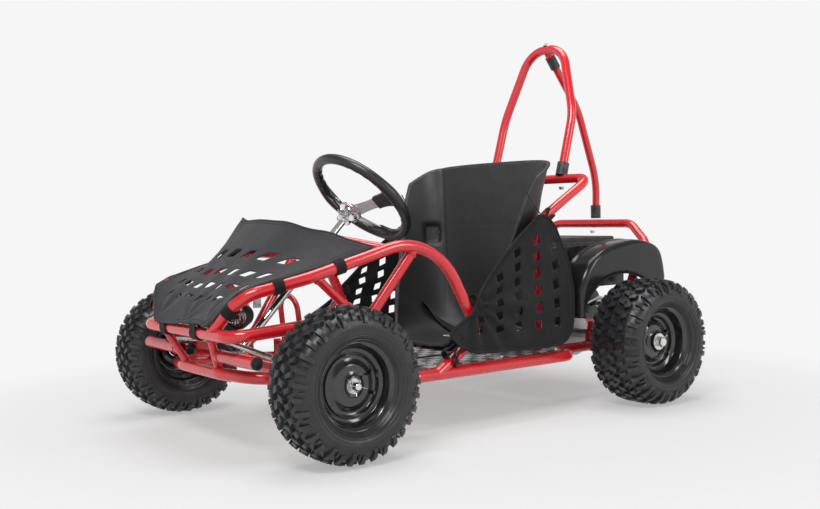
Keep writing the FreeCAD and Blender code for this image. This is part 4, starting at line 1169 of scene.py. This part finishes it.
def build_spokes():
    spokes, bolts = Shape(), Shape()
    for spoke in SPOKE_ANGLES:
        out = ring_dir(spoke)
        across = COLUMN_DIR.cross(out)
        rows = []
        for k in range(13):
            t = k / 12
            p = spoke_line(spoke, t)
            half = 0.0175 - 0.0035 * sin(pi * min(1.0, t * 1.25))
            rows.append([p - across * half - COLUMN_DIR * 0.0018, p + across * half - COLUMN_DIR * 0.0018,
                         p + across * half + COLUMN_DIR * 0.0018, p - across * half + COLUMN_DIR * 0.0018])
        spokes.bar(rows)
        for t in (0.7, 0.86):
            spot = spoke_line(spoke, t) + COLUMN_DIR * 0.0068
            bolts.turned([(-0.001, 0.0), (-0.001, 0.0042), (0.0012, 0.004), (0.0022, 0.0026), (0.0024, 0.0)], spot,
                         COLUMN_DIR, 20)
    plate = [(0.0085, 0.0), (0.0085, 0.029), (0.01, 0.0302), (0.0128, 0.0302), (0.014, 0.029), (0.014, 0.015),
             (0.0155, 0.0125), (0.02, 0.0125), (0.0215, 0.011), (0.0215, 0.0)]
    spokes.turned(plate, HUB, COLUMN_DIR, 56)
    under = [(-0.024, 0.0), (-0.024, 0.0175), (-0.022, 0.019), (-0.004, 0.019), (-0.002, 0.0215), (0.006, 0.03),
             (0.0085, 0.03), (0.0085, 0.0)]
    piece("steering_wheel_spokes", spokes, "spoke_alloy", "steering", bevel=0.0005, smooth=35,
          replaces=("steering_spokes",))
    hub = Shape()
    hub.turned(under, HUB, COLUMN_DIR, 56)
    for k in range(4):
        out = ring_dir(45 + 90 * k)
        castle_nut(hub, HUB + out * 0.0215 + COLUMN_DIR * 0.0135, COLUMN_DIR, 0.009, 0.0055)
        castle_nut(hub, HUB + out * 0.0235 - COLUMN_DIR * 0.001, -COLUMN_DIR, 0.011, 0.009)
    clamp_side = X * 0.021
    hub.tube([HUB - COLUMN_DIR * 0.014 - clamp_side, HUB - COLUMN_DIR * 0.014 + clamp_side], 0.0042, 12)
    for inner, outer in ((-0.027, -0.0195), (0.0195, 0.027)):
        hub.turned([(inner, 0.0), (inner, 0.0085), (outer, 0.0085), (outer, 0.0)], HUB - COLUMN_DIR * 0.014, X, 6)
    piece("steering_hub", hub, "chrome", "steering", bevel=0.0004, smooth=35)
    piece("steering_cover_screws", bolts, "zinc", "steering")


# ---------------------------------------------------------------- frame joints
STRUT_R = 0.01252
SHORT_TUBES = (((0.248, -0.462, 0.384), (0.25, -0.378, 0.306), (0.016, 0.014), 0.0102),
               ((0.12, -0.652, 0.261), (0.075, -0.611, 0.17), (0.0145, 0.0145), 0.0092))


def weld_bead(shape, centre, axis, r):
    """A rippled fillet round a tube's end."""
    shape.tube(circle(centre, axis, r, 40), lambda t: 0.0022 + 0.0005 * sin(t * 2 * pi * 20),
               sides=6, closed=True)


def build_frame_joints():
    """The upper ends of the diagonal struts, let into the underside of the hood rails, and weld beads."""
    ends, beads = Shape(), Shape()
    for side in (1, -1):
        low, high = at(side * 0.2505, -0.222, 0.3906), at(side * 0.257, -0.191, 0.4325)
        ends.tube([low, low.lerp(high, 0.5), high], STRUT_R, sides=32)
        weld_bead(beads, low.lerp(high, 0.7), (high - low).normalized(), 0.0128)
        weld_bead(beads, at(side * 0.1375, -0.65, 0.271), Vector((side * 0.705, 0.199, 0.68)), 0.0142)
        for start, end, insets, r in SHORT_TUBES:
            start, end = at(side * start[0], *start[1:]), at(side * end[0], *end[1:])
            axis = (end - start).normalized()
            weld_bead(beads, start + axis * insets[0], axis, r)
            weld_bead(beads, end - axis * insets[1], axis, r)
        weld_bead(beads, at(side * 0.111, -0.622, 0.209), X, 0.0142)
    piece("strut_ends", ends, "frame_red", smooth=40)
    piece("weld_beads", beads, "frame_red", smooth=60)


# ---------------------------------------------------------------- covers
LAMP_TURN = 26.0


def build_headlamp():
    """A ribbed lamp body with a bright bowl and upright slats behind the glass."""
    low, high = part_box("headlamp_lens")
    turn = radians(LAMP_TURN)
    back = Vector((-sin(turn), cos(turn), 0))
    level = Vector((cos(turn), sin(turn), 0))
    centre = (low + high) / 2
    body = Shape()
    ribs = []
    for k in range(6):
        start = 0.0075 + 0.0042 * k
        r = 0.0288 - 0.0013 * k
        ribs += [(start, r), (start + 0.0022, r), (start + 0.0026, r - 0.0016), (start + 0.004, r - 0.0018)]
    body.turned([(0.013, 0.0), (0.013, 0.019), (0.002, 0.0262), (-0.004, 0.0262), (-0.0046, 0.028),
                 (-0.0036, 0.0298), (0.005, 0.0302), (0.0062, 0.029)] + ribs +
                [(0.035, 0.0195), (0.0365, 0.017), (0.0365, 0.0)], centre, back, 64)
    piece("headlamp_body", body, "black_plastic", smooth=35,
          replaces=("headlamp_shell",))
    bowl = Shape()
    bowl.turned([(0.0124, 0.0), (0.0112, 0.01), (0.008, 0.0185), (0.0024, 0.0252), (0.0032, 0.0252), (0.0086, 0.019),
                 (0.0118, 0.0104), (0.0127, 0.0)], centre, back, 48)
    for k in range(5):
        x = -0.015 + 0.0075 * k
        half = sqrt(0.0205 ** 2 - x * x)
        corner = centre + level * (x - 0.0011) - Z * half + back * 0.0026
        across, deep, tall = level * 0.0022, back * 0.005, Z * (2 * half)
        bowl.prism([corner, corner + across, corner + across + deep, corner + deep], tall)
    piece("headlamp_reflector", bowl, "chrome", smooth=35)


FENDER_LINE = [(0.322, 0.23), (0.326, 0.305), (0.358, 0.368), (0.42, 0.407), (0.52, 0.427), (0.59, 0.424),
               (0.646, 0.398), (0.667, 0.33), (0.664, 0.3)]
FENDER_IN = 0.2235
FENDER_OUT = 0.3015
WHEEL_ROOM = 0.174
CROWN_DROP = 0.0012


def build_fender(side):
    """A glossy moulded cover: a rolled inboard lip, a crowned top, a rounded shoulder and a wall down to the tyre."""
    line = curve_through(flat_points(FENDER_LINE), 90)
    axle = Vector((REAR_WHEEL.y - MID_Y, REAR_WHEEL.z, 0))
    shoulder = 0.014
    rows = []
    for k, p in enumerate(line):
        ahead = (line[min(k + 1, 89)] - line[max(k - 1, 0)]).normalized()
        out = Vector((-ahead.y, ahead.x, 0))
        if out.dot(p - axle) < 0:
            out = -out
        inward = (axle - p).normalized()
        wall_end = axle - inward * WHEEL_ROOM
        row = [(FENDER_IN, p - out * 0.01), (FENDER_IN, p - out * 0.003), (FENDER_IN + 0.004, p + out * 0.0015),
               (FENDER_IN + 0.01, p + out * 0.001), (FENDER_IN + 0.014, p - out * 0.0012)]
        for j in (1, 2, 3):
            crown = out * CROWN_DROP * (1 - sin(pi * j / 4))
            row.append((FENDER_IN + 0.014 + 0.046 * j / 4, p - crown))
        for j in range(7):
            a = pi / 2 * j / 6
            drop = CROWN_DROP + shoulder * (1 - cos(a))
            row.append((FENDER_OUT - shoulder + shoulder * sin(a), p - out * drop))
        start = row[-1][1]
        reach = max(0.0, (wall_end - start).dot(inward))
        row += [(FENDER_OUT, start + inward * reach * j / 5) for j in range(1, 6)]
        rows.append([at(side * x, q.x, q.y) for x, q in row])
    if side < 0:
        rows = rows[::-1]
    shell = Shape()
    shell.grid(rows)
    return shell


def build_fenders():
    for side, name in ((1, "left"), (-1, "right")):
        cover = piece(f"fender_{name}", build_fender(side), "gloss_black", smooth=50,
                      replaces=("rear_fenders",))
        thicken(cover, 0.0026)


def soften_case():
    """The battery cover and its lid are mouldings with rounded edges."""
    for name, width in (("battery_case", 0.012), ("battery_lid", 0.004)):
        bevel = NODES[name].modifiers.new("rounded_edges", "BEVEL")
        bevel.width, bevel.segments, bevel.limit_method = width, 4, "ANGLE"
        bevel.angle_limit = radians(40)


# ---------------------------------------------------------------- camera, light and floor
CAMERA_AT = at(2.1787, -1.6751, 0.5212)
CAMERA_YAW = 52.556
CAMERA_PITCH = 2.414
CAMERA_ROLL = -1.241
IMAGE_WIDTH = 820
FOCAL_PIXELS = 1039.4
SENSOR = 36.0
FLOOR_HALF = 14.0
FLOOR_DROP = -0.0005


def build_camera():
    yaw, pitch, roll = (radians(a) for a in (CAMERA_YAW, CAMERA_PITCH, CAMERA_ROLL))
    ahead = Vector((-sin(yaw) * cos(pitch), cos(yaw) * cos(pitch), -sin(pitch)))
    level = ahead.cross(Z).normalized()
    above = level.cross(ahead)
    right = level * cos(roll) + above * sin(roll)
    up = above * cos(roll) - level * sin(roll)
    camera = bpy.data.objects.new("camera", bpy.data.cameras.new("camera"))
    camera.data.sensor_width = SENSOR
    camera.data.lens = FOCAL_PIXELS / IMAGE_WIDTH * SENSOR
    camera.data.clip_start, camera.data.clip_end = 0.05, 60
    matrix = Matrix((right, up, -ahead)).transposed().to_4x4()
    matrix.translation = CAMERA_AT
    camera.matrix_world = matrix
    link(camera)
    bpy.context.scene.camera = camera


def area_light(name, place, target, size, power):
    data = bpy.data.lights.new(name, "AREA")
    data.shape = "RECTANGLE"
    data.size, data.size_y = size
    data.energy = power
    light = bpy.data.objects.new(name, data)
    light.location = place
    light.rotation_euler = (Vector(target) - Vector(place)).to_track_quat("-Z", "Y").to_euler()
    link(light)


def build_stage():
    mesh = bpy.data.meshes.new("studio_floor")
    mesh.from_pydata([(FLOOR_HALF * x, FLOOR_HALF * y, FLOOR_DROP) for x, y in CORNERS], [], [(0, 1, 2, 3)])
    obj = bpy.data.objects.new("studio_floor", mesh)
    f = Finish("studio_floor", (0.62, 0.62, 0.62), 0.9, **{"Specular IOR Level": 0.1})
    reach = f.node("ShaderNodeVectorMath", {"0": f.place}, operation="LENGTH").outputs["Value"]
    fade = f.node("ShaderNodeMixShader", {"Fac": f.span(reach, 0.6, 0.0, 0.7, 1.5)})
    f.set(fade, **{"1": f.node("ShaderNodeBsdfTransparent").outputs[0], "2": f.shader.outputs[0]})
    f.tree.links.new(fade.outputs[0], f.tree.nodes["Material Output"].inputs["Surface"])
    mesh.materials.append(f.material)
    link(obj)
    world = bpy.data.worlds.new("studio")
    bpy.context.scene.world = world
    world.use_nodes = True
    tree = world.node_tree
    split = tree.nodes.new("ShaderNodeSeparateXYZ")
    tree.links.new(tree.nodes.new("ShaderNodeTexCoord").outputs["Generated"], split.inputs[0])
    fade = tree.nodes.new("ShaderNodeMapRange")
    for name, value in (("From Min", 0.22), ("From Max", 0.5), ("To Min", 0.92), ("To Max", 0.3)):
        fade.inputs[name].default_value = value
    tree.links.new(split.outputs["Z"], fade.inputs["Value"])
    tree.links.new(fade.outputs["Result"], tree.nodes["Background"].inputs["Strength"])
    tree.nodes["Background"].inputs["Color"].default_value = (1.0, 1.0, 1.0, 1.0)
    area_light("key", (1.4, -2.0, 2.9), (0, 0, 0.3), (1.6, 0.8), 62)
    area_light("side", (3.2, 1.4, 1.9), (0, 0.1, 0.3), (0.7, 1.8), 26)
    area_light("top", (-0.2, 0.3, 3.2), (0, 0.2, 0.3), (2.2, 1.6), 58)
    bpy.context.scene.view_settings.view_transform = "Standard"


def finish_cad_nodes():
    """Each CAD node takes the finish of its own material slot."""
    for row in frame["record"]["subparts"]:
        obj = NODES[row["node"]]
        obj.data.materials.clear()
        obj.data.materials.append(FINISHES[row["material_slot"]])


finish_cad_nodes()
build_camera()
build_stage()
build_wheels()
build_hood()
for net_side, net_name in ((1, "left"), (-1, "right")):
    build_net(net_side, net_name)
build_seat()
build_steering_wheel()
build_frame_joints()
build_fenders()
build_headlamp()
soften_case()
